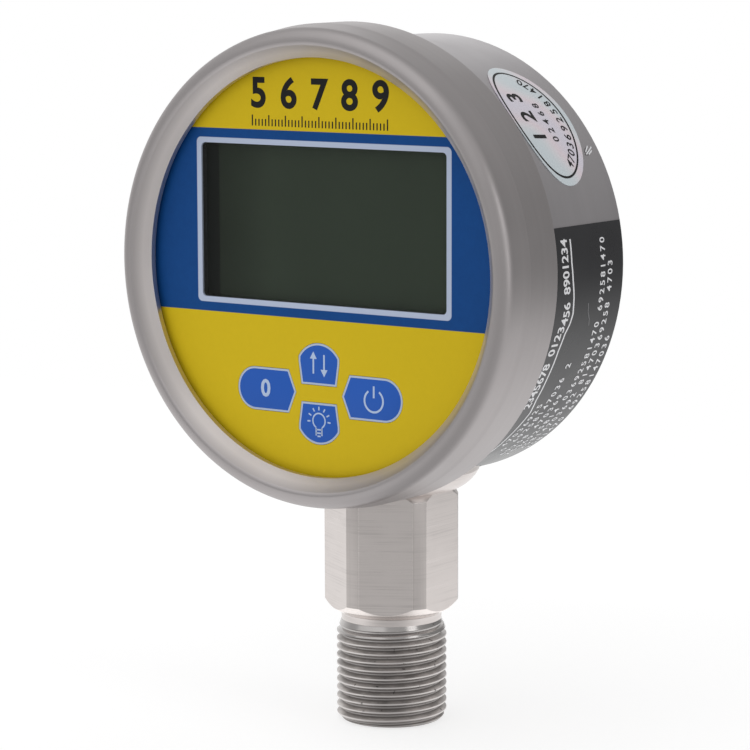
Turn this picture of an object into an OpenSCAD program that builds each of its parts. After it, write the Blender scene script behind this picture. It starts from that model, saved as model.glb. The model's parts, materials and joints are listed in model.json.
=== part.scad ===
// Digital pressure gauge: round steel case on a threaded stem, printed face
// with a liquid crystal display and four travelling keys.
// The origin is the middle of the thread's lower end. Z is up, the face looks to -Y.

/* [Stem] */
// Major diameter of the process thread
thread_d = 19.8; // [17:0.1:21.5]
// Pitch of the process thread
thread_pitch = 1.5; // [1:0.25:2]
// Length of the thread, its end chamfer and run-out included
thread_length = 18.3; // [14:0.1:24]
// Length over which the thread runs out below the relief
runout_length = 2.2; // [1:0.1:3]
// Length of the relief between the thread and the hex
relief_length = 1.2; // [1:0.1:4]
// Size of the hex across its flats
hex_af = 22; // [20:0.5:23]
// Diameter that the hex corners are turned to
hex_turned_d = 24; // [23.5:0.1:25]
// Height of the hex, its chamfers included
hex_length = 22.8; // [18:0.1:32]
// Height of the chamfer under the hex
hex_foot_chamfer = 1.7; // [1:0.1:3]
// Height of the chamfer on top of the hex
hex_top_chamfer = 1.3; // [0.8:0.1:2.5]
// How far the chamfer on top of the hex is cut in
hex_top_inset = 0.75; // [0.4:0.05:1.5]
// Diameter of the neck that enters the case
neck_d = 16; // [15:0.2:17]
// Height of the neck above the hex
neck_length = 11.8; // [11:0.1:14]
// Gap between the hex and the lowest line of the case
stem_gap = 1.4; // [1:0.1:3]
// Diameter of the collar between the hex and the case
collar_d = 31.6; // [28:0.2:34]
// Diameter of the flat under the collar
collar_foot_d = 24.4; // [22:0.2:26]
// Height of the collar at its widest
collar_h = 3.4; // [2.5:0.1:4.5]
// Diameter of the pressure port
port_d = 5; // [3:0.5:7]

/* [Sensor] */
// Diameter of the pressure sensor capsule
sensor_d = 12.6; // [11:0.1:12.8]
// Height of the sensor capsule
sensor_h = 6.5; // [5:0.5:9]
// Thickness of metal left under the sensor capsule, above the hex foot
sensor_floor = 4.3; // [3:0.1:7]

/* [Case] */
// Outside diameter of the case
case_d = 78.8; // [78:0.2:84]
// Wall of the case
case_wall = 1.2; // [1:0.1:1.5]
// Depth of the case from its front rim to its rear edge
case_depth = 32.95; // [32:0.5:40]
// Distance from the face film to the axis of the stem
stem_setback = 20.7; // [20:0.1:21.6]
// Thickness of the rear cover
cover_t = 1.35; // [1.2:0.05:2]
// Inside diameter of the seat that carries the rear cover
seat_bore_d = 62; // [60:0.5:64]

/* [Bezel] */
// How far the bezel's wall stands outside the case
bezel_step = 1.2; // [1:0.1:2]
// Wall of the bezel
bezel_wall = 1.45; // [1.2:0.05:2]
// Width of the bezel's rim, from its lip to its rear edge
rim_w = 5.85; // [5.4:0.05:6.6]
// How far the crest of the bezel stands before the face film
crest_reach = 4.84; // [4.5:0.02:5.6]
// How far the inner lip stands before the face film
lip_reach = 1.95; // [1.5:0.05:2.4]
// Depth of the bezel's skirt behind the face film
skirt_depth = 9.8; // [9:0.1:12]
// Radius of the bezel's outer front corner
corner_r = 2.3; // [2:0.05:2.6]

/* [Face] */
// Thickness of the printed face film
film_t = 0.4; // [0.2:0.05:0.6]
// Width of the display window
window_w = 52.3; // [44:0.1:53]
// Height of the display window
window_h = 27.2; // [20:0.1:28]
// Height of the display's middle above the dial centre
window_rise = 7.25; // [6:0.05:8]
// Thickness of the front panel
panel_t = 2; // [1.6:0.1:2.6]

/* [Keys] */
// Travel of each key
key_travel = 0.3; // [0.2:0.05:0.4]
// Clearance between a key and its opening
key_clear = 0.08; // [0.06:0.01:0.15]
// Width of the pale border round each key
key_border = 0.35; // [0.2:0.05:0.5]
// Distance from the middle of the key cluster to a side key's far end
side_reach = 17.35; // [16.5:0.05:18]
// Distance from the middle of the key cluster to a side key's tip
side_tip = 5.35; // [5:0.05:6]
// Height of a side key
side_h = 6.9; // [6:0.1:7.4]
// Distance from the middle of the key cluster to an arched key's far end
arch_reach = 8.5; // [8:0.1:9]
// Distance from the middle of the key cluster to an arched key's flat foot
arch_foot = 1.9; // [1.6:0.1:2.4]
// Width of an arched key
arch_w = 8; // [7:0.1:8.4]

/* [Electronics] */
// Thickness of the liquid crystal cell
lcd_t = 2.8; // [2.2:0.1:3.2]
// Thickness of the backlight panel
backlight_t = 3.2; // [2.6:0.1:3.6]
// Thickness of the main board
board_t = 1.6; // [1:0.1:2]
// Diameter of a battery cell
cell_d = 10.5; // [9.5:0.1:10.6]
// Length of a battery cell, its cap included
cell_length = 44.5; // [40:0.1:45]

/* [Hidden] */
$fn = 96;

// One overrun for every cut, and the clearances that pieces share
cut = 0.5;
slip = 0.1;
ease = 0.25;
thread_clear = 0.05;
skin_gap = 0.02;

// Stem heights
thread_chamfer = thread_pitch * 2 / 3;
relief_d = thread_d - thread_pitch * 1.2;
hex_foot = thread_length + relief_length;
hex_top = hex_foot + hex_length;
neck_top = hex_top + neck_length;
hex_sides = 6;
flat_angle = 30;

// Case, and where the dial sits over the stem
case_r = case_d / 2;
case_in = case_r - case_wall;
dial_height = hex_top + stem_gap + case_r;
case_front = film_t + panel_t;
case_back = case_front + case_depth;
rear_round = 0.5;

// Front flange of the case and the sealing ring in it
flange_t = 4.8;
groove_inset = 1.4;
groove_w = 2;
groove_t = 1.4;
bezel_in = case_r + bezel_step;
bezel_r = bezel_in + bezel_wall;
flange_r = bezel_in - slip;
groove_r = flange_r - groove_t;
oring_r = (bezel_in - groove_r) / 2 - slip / 2;

// Bezel outline
lip_r = bezel_r - rim_w;
lip_land = 1.05;
crest_r = 1;
corner_inset = 0.68;
corner_side = bezel_r - corner_inset;
crest_centre = corner_side - corner_r;
arc_steps = 8;
shoulder_inset = 0.1;
shoulder_depth = 1.6;
bead_in = 0.5;
bezel_edge = 0.3;
gasket_t = lip_reach - lip_land;
gasket_inset = 0.7;

// Face film and front panel
film_lap = 2.4;
film_r = lip_r + film_lap;
panel_gap = 0.4;
panel_r = bezel_in - panel_gap;
panel_skirt_t = 1;
panel_skirt_depth = 2;
web_t = 1.1;
window_corner = 0.8;
post_r = 2.6;
post_shares = [[-0.314, 0.785], [0.314, 0.785], [-0.707, -0.471], [0.707, -0.471]];
post_places = case_in * post_shares;

// Stack of the display and the board, as depths behind the face film
lcd_front = film_t + web_t;
lcd_back = lcd_front + lcd_t;
board_front = lcd_back + backlight_t;
board_back = board_front + board_t;
board_gap = 0.9;
board_r = case_in - board_gap;
lcd_side = 1.35;
lcd_end = 1.9;
lcd_w = window_w + 2 * lcd_side;
lcd_h = window_h + 2 * lcd_end;
holder_wall = 1;
pin_room = 0.8;
lcd_ledge = 0.6;
pin_w = 0.5;
pin_t = 0.45;
pin_count = 18;
pin_pitch = 2.54;
backlight_inset = 1;

// Key cluster
cluster_shift = -0.6;
cluster_drop = -21.9;
tip_length = 1.45;
arch_bow = 4.74;
arch_taper = 0.6;
arch_shoulder = 3.6;
pad_t = 1.2;
pad_grow = 0.2;
plunger_d = 3.8;
side_stem = 11.8;
arch_stem = 4.9;
switch_w = 6;
switch_h = 3.5;
button_d = 3.4;
button_length = 1.4;
button_sunk = 0.5;
button_room = 0.5;
button_bore = button_sunk + key_travel + button_room;
button_top = board_front - switch_h - button_length;
switch_leg_t = 0.5;
switch_leg_w = 0.8;

// Board components
chip_w = 10;
chip_t = 1.5;
chip_leg = 0.35;
chip_legs = 8;
chip_foot = 0.9;
small_chip_w = 5;
controller_place = case_in * [-0.314, 0.366];
converter_place = case_in * [0.262, 0.366];
crystal_top = 3;
crystal_r = 1.6;
crystal_length = 6;
capacitor_r = 3;
capacitor_h = 5.4;
capacitor_shares = [[-0.445, -0.314], [-0.445, -0.55]];
socket_w = 6.4;
socket_h = 4.6;
socket_t = 4.4;
plug_inset = 0.8;
plug_t = 3;
plug_foot = board_back + socket_t / 2;
battery_socket_place = case_in * [0.471, -0.537];
sensor_socket_place = case_in * [0, -0.628];
lead_r = 0.6;
lead_gap = 1;
lead_bend = 2;

// Battery tray
tray_leg = 8.3;
tray_floor = 1.5;
tray_wall = 1.5;
tray_height = 9.2;
tray_rise = 4.5;
cell_gap = 0.7;
cell_nub_d = 3.8;
cell_nub_t = 1.2;
plate_t = 0.4;
plate_w = 8;
spring_length = 4.2;
spring_wire = 0.35;
spring_foot_r = 3.2;
spring_tip_r = 2.2;
spring_turns = 4;
tray_front = board_back + tray_leg;
tray_back = tray_front + tray_floor;
tray_gap = 0.5;
tray_r = case_in - tray_gap;
cell_pitch = cell_d + cell_gap;
cell_depth = tray_back + slip + cell_d / 2;
tray_in_w = cell_length + spring_length + 2 * plate_t + 2 * slip;
tray_in_h = 3 * cell_pitch;
stem_gate = 14.5;
lead_gate_w = 4.6;
lead_gate_h = 2.4;

// Contact springs, swept with a six-sided wire
ring_points = 6;
rings_per_turn = 8;

// Screws
screw_r = 1;
screw_free_r = 1.4;
screw_head_r = 2.2;
screw_head_t = 1.5;
slot_w = 0.5;
slot_t = 0.6;
screw_room = 1;
seat_w = case_in - seat_bore_d / 2;
cover_head_share = 0.32;
cover_screw_share = 0.52;
cover_head_r = seat_w * cover_head_share;
cover_screw_r = cover_head_r * cover_screw_share;
cover_screw_length = 5;
recess_r = cover_screw_r * 2 / 3;
recess_t = 0.7;
seat_t = 1.2;
cover_gasket_t = 0.5;
cover_screw_circle = case_in - seat_w / 2;
cover_screw_angles = [60, 120, 240, 300];
boss_r = seat_w / 3;
boss_t = 4;
seat_back = case_back - cover_t - cover_gasket_t;
cover_r = case_in - slip;

// Parts that clamp the stem in the case
seal_r = 9.1;
collar_bulge = 6.9;
collar_top = case_wall * 3;
collar_back_inset = 0.6;
label_clear = 0.3;
hole_clear = 0.15;
saddle_r = 10.4;
saddle_rise = 2.7;
nut_af = 20.5;
nut_t = 5;
saddle_top = hex_top + stem_gap + saddle_rise + case_wall;

// Sensor chamber
chamber_clear = 0.05;
chamber_r = sensor_d / 2 + chamber_clear;
chamber_floor = hex_foot + hex_foot_chamfer + sensor_floor;
dish_r = 4.6;
dish_t = 0.6;
sensor_groove = 1.1;
sensor_groove_w = 1.7;
retainer_h = 5;
retainer_bore_r = 3.6;
retainer_slot = 1.6;
sensor_pin_count = 5;
sensor_pin_r = 0.35;
sensor_pin_h = 5.5;
sensor_pin_circle = 2.2;
cable_r = 1.2;
cable_bend = 5;

// Labels on the case
label_t = 0.15;
label_top_angle = 11.4;
label_foot_angle = -76.5;
label_gap = 0.6;
label_front = skirt_depth + label_gap;
label_back_inset = 0.7;
sticker_t = 0.12;
sticker_angle = 40.3;
sticker_depth = 22.8;
sticker_long = 12.85;
sticker_short = 8.4;
sticker_tilt = 3.7;
sticker_points = 48;

// Places the view that looks at the face: x right, y up, and z from the film to the viewer
module at_face() {
    translate([0, -stem_setback, dial_height]) rotate([90, 0, 0]) children();
}

// Extrudes an outline between two depths behind the face film
module layer(near, far) {
    translate([0, 0, -far]) linear_extrude(far - near) children();
}

module ring(outer, inner) {
    difference() {
        circle(r = outer);
        circle(r = inner);
    }
}

module box2d(w, h) {
    square([w, h], center = true);
}

module rounded_box2d(w, h, r) {
    box2d(w - 2 * r, h);
    box2d(w, h - 2 * r);
    for (x = [-1, 1], y = [-1, 1])
        translate([x * (w / 2 - r), y * (h / 2 - r)]) circle(r = r);
}

module block(w, h, near, far) {
    layer(near, far) box2d(w, h);
}

module at_places(places) {
    for (p = places) translate([p[0], p[1], 0]) children();
}

module at_cover_screws() {
    for (a = cover_screw_angles) rotate([0, 0, a]) translate([cover_screw_circle, 0, 0]) children();
}

// Outlines of the keys, each round the middle of the cluster and grown outwards by grow
module side_key(grow) {
    half = side_h / 2;
    slope = norm([tip_length, half]);
    corner = side_tip + tip_length;
    corner_in = corner - grow * (slope - tip_length) / half;
    tip_in = side_tip - grow * slope / half;
    middle = side_reach - half;
    translate([middle, 0]) circle(r = half + grow);
    polygon([[middle, half + grow], [corner_in, half + grow], [tip_in, 0],
        [corner_in, -half - grow], [middle, -half - grow]]);
}

module arched_key(grow) {
    waist = arch_w / 2 + grow;
    foot = arch_w / 2 - arch_taper + grow;
    intersection() {
        translate([0, arch_reach - arch_bow]) circle(r = arch_bow + grow);
        polygon([[-foot, arch_foot - grow], [foot, arch_foot - grow], [waist, arch_foot + arch_shoulder],
            [waist, arch_reach + grow + cut], [-waist, arch_reach + grow + cut],
            [-waist, arch_foot + arch_shoulder]]);
    }
}

module key_outline(name, grow) {
    translate([cluster_shift, cluster_drop]) {
        if (name == "power") side_key(grow);
        if (name == "zero") mirror([1, 0]) side_key(grow);
        if (name == "unit") arched_key(grow);
        if (name == "light") mirror([0, 1]) arched_key(grow);
    }
}

module all_key_outlines(grow) {
    for (name = ["zero", "unit", "light", "power"]) key_outline(name, grow);
}

function key_stem_place(name) =
    [cluster_shift + (name == "power" ? side_stem : name == "zero" ? -side_stem : 0),
     cluster_drop + (name == "unit" ? arch_stem : name == "light" ? -arch_stem : 0)];

module at_key_stem(name) {
    place = key_stem_place(name);
    translate([place[0], place[1], 0]) children();
}

// Points of an arc round a centre, from one angle to another, with the first left out
function arc(centre, r, from, to) = [for (i = [1 : arc_steps])
    centre + r * [cos(from + (to - from) * i / arc_steps), sin(from + (to - from) * i / arc_steps)]];

// Steel bezel: one turned ring with a sloping inner face, tangent to a crest, and a rolled corner
module bezel_ring() {
    lip = [lip_r, lip_reach];
    crest = [crest_centre, crest_reach - crest_r];
    corner = [crest_centre, crest_reach - corner_r];
    span = norm(crest - lip);
    slope = atan2(crest[1] - lip[1], crest[0] - lip[0]) + asin(crest_r / span);
    run = sqrt(span * span - crest_r * crest_r);
    touch = lip + run * [cos(slope), sin(slope)];
    bead_front = -case_front - flange_t - slip;
    color("#a8a6a4") at_face() rotate_extrude() polygon(concat(
        [[lip_r, gasket_t], lip, touch],
        arc(crest, crest_r, 90 + slope, 90),
        arc(corner, corner_r, 90, 0),
        [[bezel_r - shoulder_inset, -shoulder_depth], [bezel_r, -skirt_depth + bezel_edge],
            [bezel_r - bezel_edge, -skirt_depth], [bezel_in - bead_in, -skirt_depth],
            [bezel_in - bead_in, bead_front - bead_in], [bezel_in, bead_front], [bezel_in, gasket_t]]));
}

module bezel_gasket() {
    color("#202020") at_face() layer(-gasket_t, 0) ring(panel_r, lip_r + gasket_inset);
}

module case_oring() {
    color("#1b1b1b") at_face()
        translate([0, 0, -case_front - groove_inset - groove_w / 2])
            rotate_extrude() translate([(bezel_in + groove_r) / 2, 0]) circle(r = oring_r);
}

// Deep-drawn steel case with its front flange, cover seat and screw bosses
module case_shell() {
    color("#9f9d9b") difference() {
        union() {
            at_face() rotate_extrude() case_profile();
            at_face() translate([0, 0, -seat_back]) at_cover_screws()
                cylinder(h = seat_t + boss_t, r = boss_r);
        }
        translate([0, 0, hex_top]) cylinder(h = saddle_top - hex_top, r = neck_d / 2 + hole_clear);
        at_face() translate([0, 0, -seat_back - cut]) at_cover_screws()
            cylinder(h = seat_t + boss_t + 2 * cut, r = cover_screw_r + thread_clear);
    }
}

module case_profile() {
    difference() {
        union() {
            polygon([[case_in, -case_front], [flange_r, -case_front], [flange_r, -case_front - flange_t],
                [case_r, -case_front - flange_t], [case_r, -case_back + rear_round],
                [case_r - rear_round, -case_back], [case_in, -case_back],
                [case_in, -seat_back], [seat_bore_d / 2, -seat_back],
                [seat_bore_d / 2, -seat_back + seat_t], [case_in, -seat_back + seat_t]]);
            translate([case_r - rear_round, -case_back + rear_round]) circle(r = rear_round);
        }
        translate([groove_r, -case_front - groove_inset - groove_w])
            square([flange_r - groove_r + cut, groove_w]);
    }
}

// Printed film that covers the face, with openings for the window and the keys
module overlay_film() {
    color("#c8b025") at_face() layer(0, film_t) difference() {
        circle(r = film_r);
        translate([0, window_rise]) rounded_box2d(window_w, window_h, window_corner);
        all_key_outlines(key_border + key_clear);
    }
}

module film_window() {
    color("#7f8a80", 0.4) at_face() layer(0, film_t)
        translate([0, window_rise]) rounded_box2d(window_w - slip, window_h - slip, window_corner);
}

// Moulded panel: film recess, display pocket, key wells, skirt and screw posts
module front_panel() {
    color("#303338") at_face() difference() {
        union() {
            layer(0, film_t) ring(panel_r, film_r + slip);
            layer(film_t, case_front) circle(r = panel_r);
            layer(case_front, case_front + panel_skirt_depth) difference() {
                ring(case_in - ease, case_in - ease - panel_skirt_t);
                translate([0, window_rise])
                    box2d(lcd_w + 2 * (holder_wall + ease), lcd_h + 2 * (holder_wall + pin_room + ease));
            }
            at_places(post_places) layer(case_front, board_front) circle(r = post_r);
        }
        layer(film_t - cut, lcd_front + cut) translate([0, window_rise])
            rounded_box2d(window_w, window_h, window_corner);
        layer(lcd_front, case_front + cut) translate([0, window_rise]) box2d(lcd_w + slip, lcd_h + slip);
        layer(film_t - cut, case_front + cut) all_key_outlines(key_border + key_clear);
        at_places(post_places) translate([0, 0, -board_front - cut])
            cylinder(h = board_front - case_front + cut, r = screw_r + thread_clear);
    }
}

module lcd_glass() {
    color("#4b5246") at_face() translate([0, window_rise, 0]) {
        block(lcd_w, lcd_h, lcd_front, lcd_front + lcd_t / 2);
        block(lcd_w, lcd_h - 2 * lcd_ledge, lcd_front + lcd_t / 2, lcd_back);
    }
}

module lcd_holder() {
    in_w = lcd_w + 2 * slip;
    in_h = lcd_h + 2 * pin_room;
    color("#e6e6e0") at_face() layer(case_front, board_front) intersection() {
        translate([0, window_rise]) difference() {
            box2d(in_w + 2 * holder_wall, in_h + 2 * holder_wall);
            box2d(in_w, in_h);
        }
        circle(r = case_in - ease);
    }
}

// Row of clip-on pins: a foot on the glass ledge and a leg down to the board
module lcd_pins() {
    pin_top = lcd_front + lcd_t / 2;
    color("#c9c9c9") at_face() for (side = [-1, 1], i = [0 : pin_count - 1])
        translate([(i - (pin_count - 1) / 2) * pin_pitch, window_rise + side * lcd_h / 2, 0]) {
            translate([0, side * (pin_t - lcd_ledge) / 2, 0])
                block(pin_w, lcd_ledge + pin_t, pin_top, pin_top + pin_t);
            translate([0, side * pin_t / 2, 0]) block(pin_w, pin_t, pin_top, board_front);
        }
}

module backlight_panel() {
    color("#f2f2ee") at_face() translate([0, window_rise, 0])
        block(lcd_w, lcd_h - 2 * backlight_inset, lcd_back, board_front);
}

module main_board() {
    color("#1f6b3a") at_face() layer(board_front, board_back) difference() {
        circle(r = board_r);
        at_places(post_places) circle(r = screw_free_r);
    }
}

// Flat package with a dimple at its first leg
module chip(w, h, place) {
    dimple = 0.4;
    leg_pitch = h / chip_legs;
    color("#26282a") at_face() translate([place[0], place[1], 0]) {
        difference() {
            block(w, h, board_back + chip_leg, board_back + chip_t);
            translate([chip_foot - w / 2, h / 2 - chip_foot, -board_back - chip_t - cut])
                cylinder(h = dimple / 2 + cut, r = dimple);
        }
        for (side = [-1, 1], i = [0 : chip_legs - 1])
            translate([side * (w + chip_foot) / 2, (i - (chip_legs - 1) / 2) * leg_pitch, 0])
                block(chip_foot, chip_leg, board_back, board_back + chip_t / 2);
    }
}

module controller_chip() {
    chip(chip_w, chip_w, controller_place);
}

module converter_chip() {
    chip(small_chip_w, chip_w, converter_place);
}

module crystal_can() {
    color("#b9bcbf") at_face() translate([0, crystal_top, -board_back - crystal_r])
        rotate([90, 0, 0]) cylinder(h = crystal_length, r = crystal_r);
}

module capacitors() {
    color("#2c3550") at_face() at_places(case_in * capacitor_shares) layer(board_back, board_back + capacitor_h)
        circle(r = capacitor_r);
}

module board_socket(place) {
    color("#e9e4d4") at_face() translate([place[0], place[1], 0]) difference() {
        block(socket_w, socket_h, board_back, board_back + socket_t);
        block(socket_w - 2 * plug_inset, socket_h - 2 * plug_inset, plug_foot, board_back + socket_t + cut);
    }
}

module board_plug(place) {
    inner_w = socket_w - 2 * plug_inset - slip;
    inner_h = socket_h - 2 * plug_inset - slip;
    color("#f0ece0") at_face() translate([place[0], place[1], 0])
        block(inner_w, inner_h, plug_foot, plug_foot + plug_t);
}

module battery_socket() {
    board_socket(battery_socket_place);
}

module battery_plug() {
    board_plug(battery_socket_place);
}

module sensor_socket() {
    board_socket(sensor_socket_place);
}

module sensor_plug() {
    board_plug(sensor_socket_place);
}

// A round wire that comes out of a board plug, turns square and runs on by rise
module bent_wire(r, start_depth, bend_depth, bend_r, rise) {
    translate([0, 0, -bend_depth + bend_r]) cylinder(h = bend_depth - bend_r - start_depth, r = r);
    translate([0, bend_r, -bend_depth + bend_r]) rotate([0, 90, 0])
        rotate([0, 0, -90]) rotate_extrude(angle = 90) translate([bend_r, 0]) circle(r = r);
    translate([0, bend_r, -bend_depth]) rotate([-90, 0, 0]) cylinder(h = rise, r = r);
}

module battery_lead(side) {
    bend_depth = tray_back + tray_height / 3;
    wall_foot = tray_rise - tray_in_h / 2 - tray_wall;
    rise = wall_foot - battery_socket_place[1] - lead_bend;
    at_face() translate([battery_socket_place[0] + side * lead_gap, battery_socket_place[1], 0])
        bent_wire(lead_r, plug_foot + plug_t, bend_depth, lead_bend, rise);
}

module lead_red() {
    color("#b02020") battery_lead(1);
}

module lead_black() {
    color("#1a1a1a") battery_lead(-1);
}

module sensor_cable() {
    plug_height = dial_height + sensor_socket_place[1];
    rise = plug_height - cable_bend - chamber_floor - sensor_h;
    color("#3a3a3c") at_face() translate([sensor_socket_place[0], sensor_socket_place[1], 0])
        mirror([0, 1, 0]) bent_wire(cable_r, plug_foot + plug_t, stem_setback, cable_bend, rise);
}

// Key caps: a patch of film on a pad, with a plunger that presses the switch button
module key(name) {
    color("#2a5fc0") at_face() {
        layer(0, film_t) key_outline(name, key_border);
        layer(film_t, film_t + pad_t) key_outline(name, pad_grow);
        at_key_stem(name) layer(film_t + pad_t, button_top) circle(d = plunger_d);
    }
}

module key_zero() {
    key("zero");
}

module key_unit() {
    key("unit");
}

module key_light() {
    key("light");
}

module key_power() {
    key("power");
}

module switch_button(name) {
    color("#d8d2c0") at_face() at_key_stem(name)
        layer(button_top, board_front - switch_h + button_sunk) circle(d = button_d);
}

module button_zero() {
    switch_button("zero");
}

module button_unit() {
    switch_button("unit");
}

module button_light() {
    switch_button("light");
}

module button_power() {
    switch_button("power");
}

module tact_switch(name) {
    color("#3b3d40") at_face() at_key_stem(name) difference() {
        union() {
            block(switch_w, switch_w, board_front - switch_h, board_front - switch_leg_t);
            for (x = [-1, 1], y = [-1, 1]) translate([x * switch_w / 2, y * switch_w / 3, 0])
                block(2 * switch_leg_w, switch_leg_w, board_front - switch_leg_t, board_front);
        }
        translate([0, 0, -board_front + switch_h - button_bore])
            cylinder(h = button_bore + cut, d = button_d + 2 * slip);
    }
}

module switch_zero() {
    tact_switch("zero");
}

module switch_unit() {
    tact_switch("unit");
}

module switch_light() {
    tact_switch("light");
}

module switch_power() {
    tact_switch("power");
}

// Moulded tray: round plate, legs to the board, cell bay with ribs between the cells
module battery_tray() {
    out_w = tray_in_w + 2 * tray_wall;
    out_h = tray_in_h + 2 * tray_wall;
    rib_t = cell_gap - 2 * slip;
    color("#2b2d31") at_face() difference() {
        union() {
            layer(tray_front, tray_back) difference() {
                circle(r = tray_r);
                translate([0, -tray_r])
                    box2d(2 * stem_gate, 2 * (tray_r + sensor_socket_place[1] + cable_bend));
            }
            at_places(post_places) layer(board_back, tray_back) circle(r = post_r);
            layer(tray_back, tray_back + tray_height) translate([0, tray_rise]) difference() {
                box2d(out_w, out_h);
                box2d(tray_in_w, tray_in_h);
            }
            for (side = [-1, 1]) translate([0, tray_rise + side * cell_pitch / 2, 0])
                block(cell_length / 2, rib_t, tray_back, tray_back + cell_d / 2);
        }
        at_places(post_places) translate([0, 0, -tray_back - cut])
            cylinder(h = tray_back - board_back + 2 * cut, r = screw_free_r);
        translate([battery_socket_place[0], battery_socket_place[1], 0])
            block(lead_gate_w, lead_gate_h, tray_front - cut, tray_back + cut);
    }
}

module screw_slot(head_r) {
    translate([-head_r - cut, -slot_w / 2, 0]) cube([2 * (head_r + cut), slot_w, slot_t + cut]);
}

module stack_screws() {
    shank = tray_back - case_front - screw_room;
    color("#c0c0c0") at_face() at_places(post_places) difference() {
        translate([0, 0, -tray_back - screw_head_t]) {
            cylinder(h = screw_head_t, r = screw_head_r);
            cylinder(h = screw_head_t + shank, r = screw_r);
        }
        translate([0, 0, -tray_back - screw_head_t + slot_t]) mirror([0, 0, 1]) screw_slot(screw_head_r);
    }
}

// Battery cell along X with its cap to the side that facing names
module battery_cell(row, facing) {
    can_length = cell_length - cell_nub_t;
    cap_end = tray_in_w / 2 - plate_t - slip;
    foot = [facing * (cap_end - cell_length), tray_rise + row * cell_pitch, -cell_depth];
    color("#40444a") at_face() translate(foot) rotate([0, facing * 90, 0]) {
        cylinder(h = can_length, d = cell_d);
        cylinder(h = cell_length, d = cell_nub_d);
    }
}

module cell_upper() {
    battery_cell(1, 1);
}

module cell_middle() {
    battery_cell(0, -1);
}

module cell_lower() {
    battery_cell(-1, 1);
}

// One tapering helix of round wire
function coil_centre(t) =
    let (r = spring_foot_r + (spring_tip_r - spring_foot_r) * t, a = 360 * spring_turns * t)
    [r * cos(a), r * sin(a), spring_wire + slip / 2 + (spring_length - 2 * spring_wire - slip) * t];

function coil_ring(t) =
    let (c = coil_centre(t), a = 360 * spring_turns * t)
    [for (j = [0 : ring_points - 1])
        let (b = 360 * j / ring_points)
        c + spring_wire * [cos(b) * cos(a), cos(b) * sin(a), sin(b)]];

module coil_spring() {
    steps = spring_turns * rings_per_turn;
    points = [for (i = [0 : steps]) each coil_ring(i / steps)];
    sides = [for (i = [0 : steps - 1], j = [0 : ring_points - 1], half = [0, 1])
        let (a = i * ring_points + j, b = i * ring_points + (j + 1) % ring_points)
        half == 0 ? [a, b, b + ring_points] : [a, b + ring_points, a + ring_points]];
    foot = [[for (j = [0 : ring_points - 1]) ring_points - 1 - j]];
    tip = [[for (j = [0 : ring_points - 1]) steps * ring_points + j]];
    polyhedron(points, concat(sides, foot, tip));
}

module contact_springs() {
    plate_face = tray_in_w / 2 - plate_t;
    color("#d0d0d0") at_face() for (row = [-1, 0, 1]) {
        facing = row == 0 ? -1 : 1;
        translate([-facing * plate_face, tray_rise + row * cell_pitch, -cell_depth])
            rotate([0, facing * 90, 0]) coil_spring();
    }
}

module contact_plates() {
    color("#cfc9b0") at_face() for (row = [-1, 0, 1], side = [-1, 1])
        translate([side * (tray_in_w - plate_t) / 2, tray_rise + row * cell_pitch, 0])
            block(plate_t, plate_w, cell_depth - plate_w / 2, cell_depth + plate_w / 2);
}

module rear_cover() {
    color("#a5a3a1") at_face() difference() {
        layer(case_back - cover_t, case_back) circle(r = cover_r);
        translate([0, 0, -case_back - cut]) at_cover_screws() {
            cylinder(h = cover_t + 2 * cut, r = cover_screw_r + hole_clear);
            cylinder(h = cut, r = cover_head_r + thread_clear);
            translate([0, 0, cut])
                cylinder(h = cover_t, r1 = cover_head_r + thread_clear, r2 = cover_screw_r + thread_clear);
        }
    }
}

module cover_gasket() {
    color("#222222") at_face() difference() {
        layer(case_back - cover_t - cover_gasket_t, case_back - cover_t) ring(cover_r, seat_bore_d / 2);
        translate([0, 0, -case_back]) at_cover_screws()
            cylinder(h = cover_t + 2 * cover_gasket_t, r = cover_screw_r + hole_clear);
    }
}

module cover_screws() {
    color("#c6c6c6") at_face() translate([0, 0, -case_back]) at_cover_screws() difference() {
        union() {
            cylinder(h = cover_t, r1 = cover_head_r, r2 = cover_screw_r);
            cylinder(h = cover_t + cover_screw_length, r = cover_screw_r);
        }
        translate([0, 0, -cut]) cylinder(h = recess_t + cut, r = recess_r, $fn = 6);
    }
}

// Threaded stem turned from hexagon bar, bored for the port and the sensor chamber
module stem() {
    hex_r = hex_turned_d / 2;
    top_r = hex_r - hex_top_inset;
    thread_r = thread_d / 2;
    color("#b5b1ad") difference() {
        union() {
            cylinder(h = thread_chamfer, r1 = thread_r - thread_chamfer, r2 = thread_r);
            translate([0, 0, thread_chamfer])
                cylinder(h = thread_length - thread_chamfer - runout_length, r = thread_r);
            translate([0, 0, thread_length - runout_length])
                cylinder(h = runout_length, r1 = thread_r, r2 = relief_d / 2);
            cylinder(h = hex_foot + cut, r = min(relief_d / 2, thread_r - thread_chamfer));
            translate([0, 0, thread_length]) cylinder(h = relief_length, r = relief_d / 2);
            intersection() {
                translate([0, 0, hex_foot]) rotate([0, 0, flat_angle])
                    linear_extrude(hex_length) circle(d = hex_af / cos(180 / hex_sides), $fn = 6);
                union() {
                    translate([0, 0, hex_foot]) cylinder(h = hex_foot_chamfer, r1 = relief_d / 2, r2 = hex_r);
                    translate([0, 0, hex_foot + hex_foot_chamfer])
                        cylinder(h = hex_length - hex_foot_chamfer - hex_top_chamfer, r = hex_r);
                    translate([0, 0, hex_top - hex_top_chamfer])
                        cylinder(h = hex_top_chamfer, r1 = hex_r, r2 = top_r);
                }
            }
            translate([0, 0, hex_top - cut]) cylinder(h = neck_length + cut, d = neck_d);
        }
        bezel_room();
        translate([0, 0, -cut]) cylinder(h = chamber_floor + 2 * cut, d = port_d);
        translate([0, 0, chamber_floor]) cylinder(h = neck_top - chamber_floor + cut, r = chamber_r);
    }
}

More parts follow.
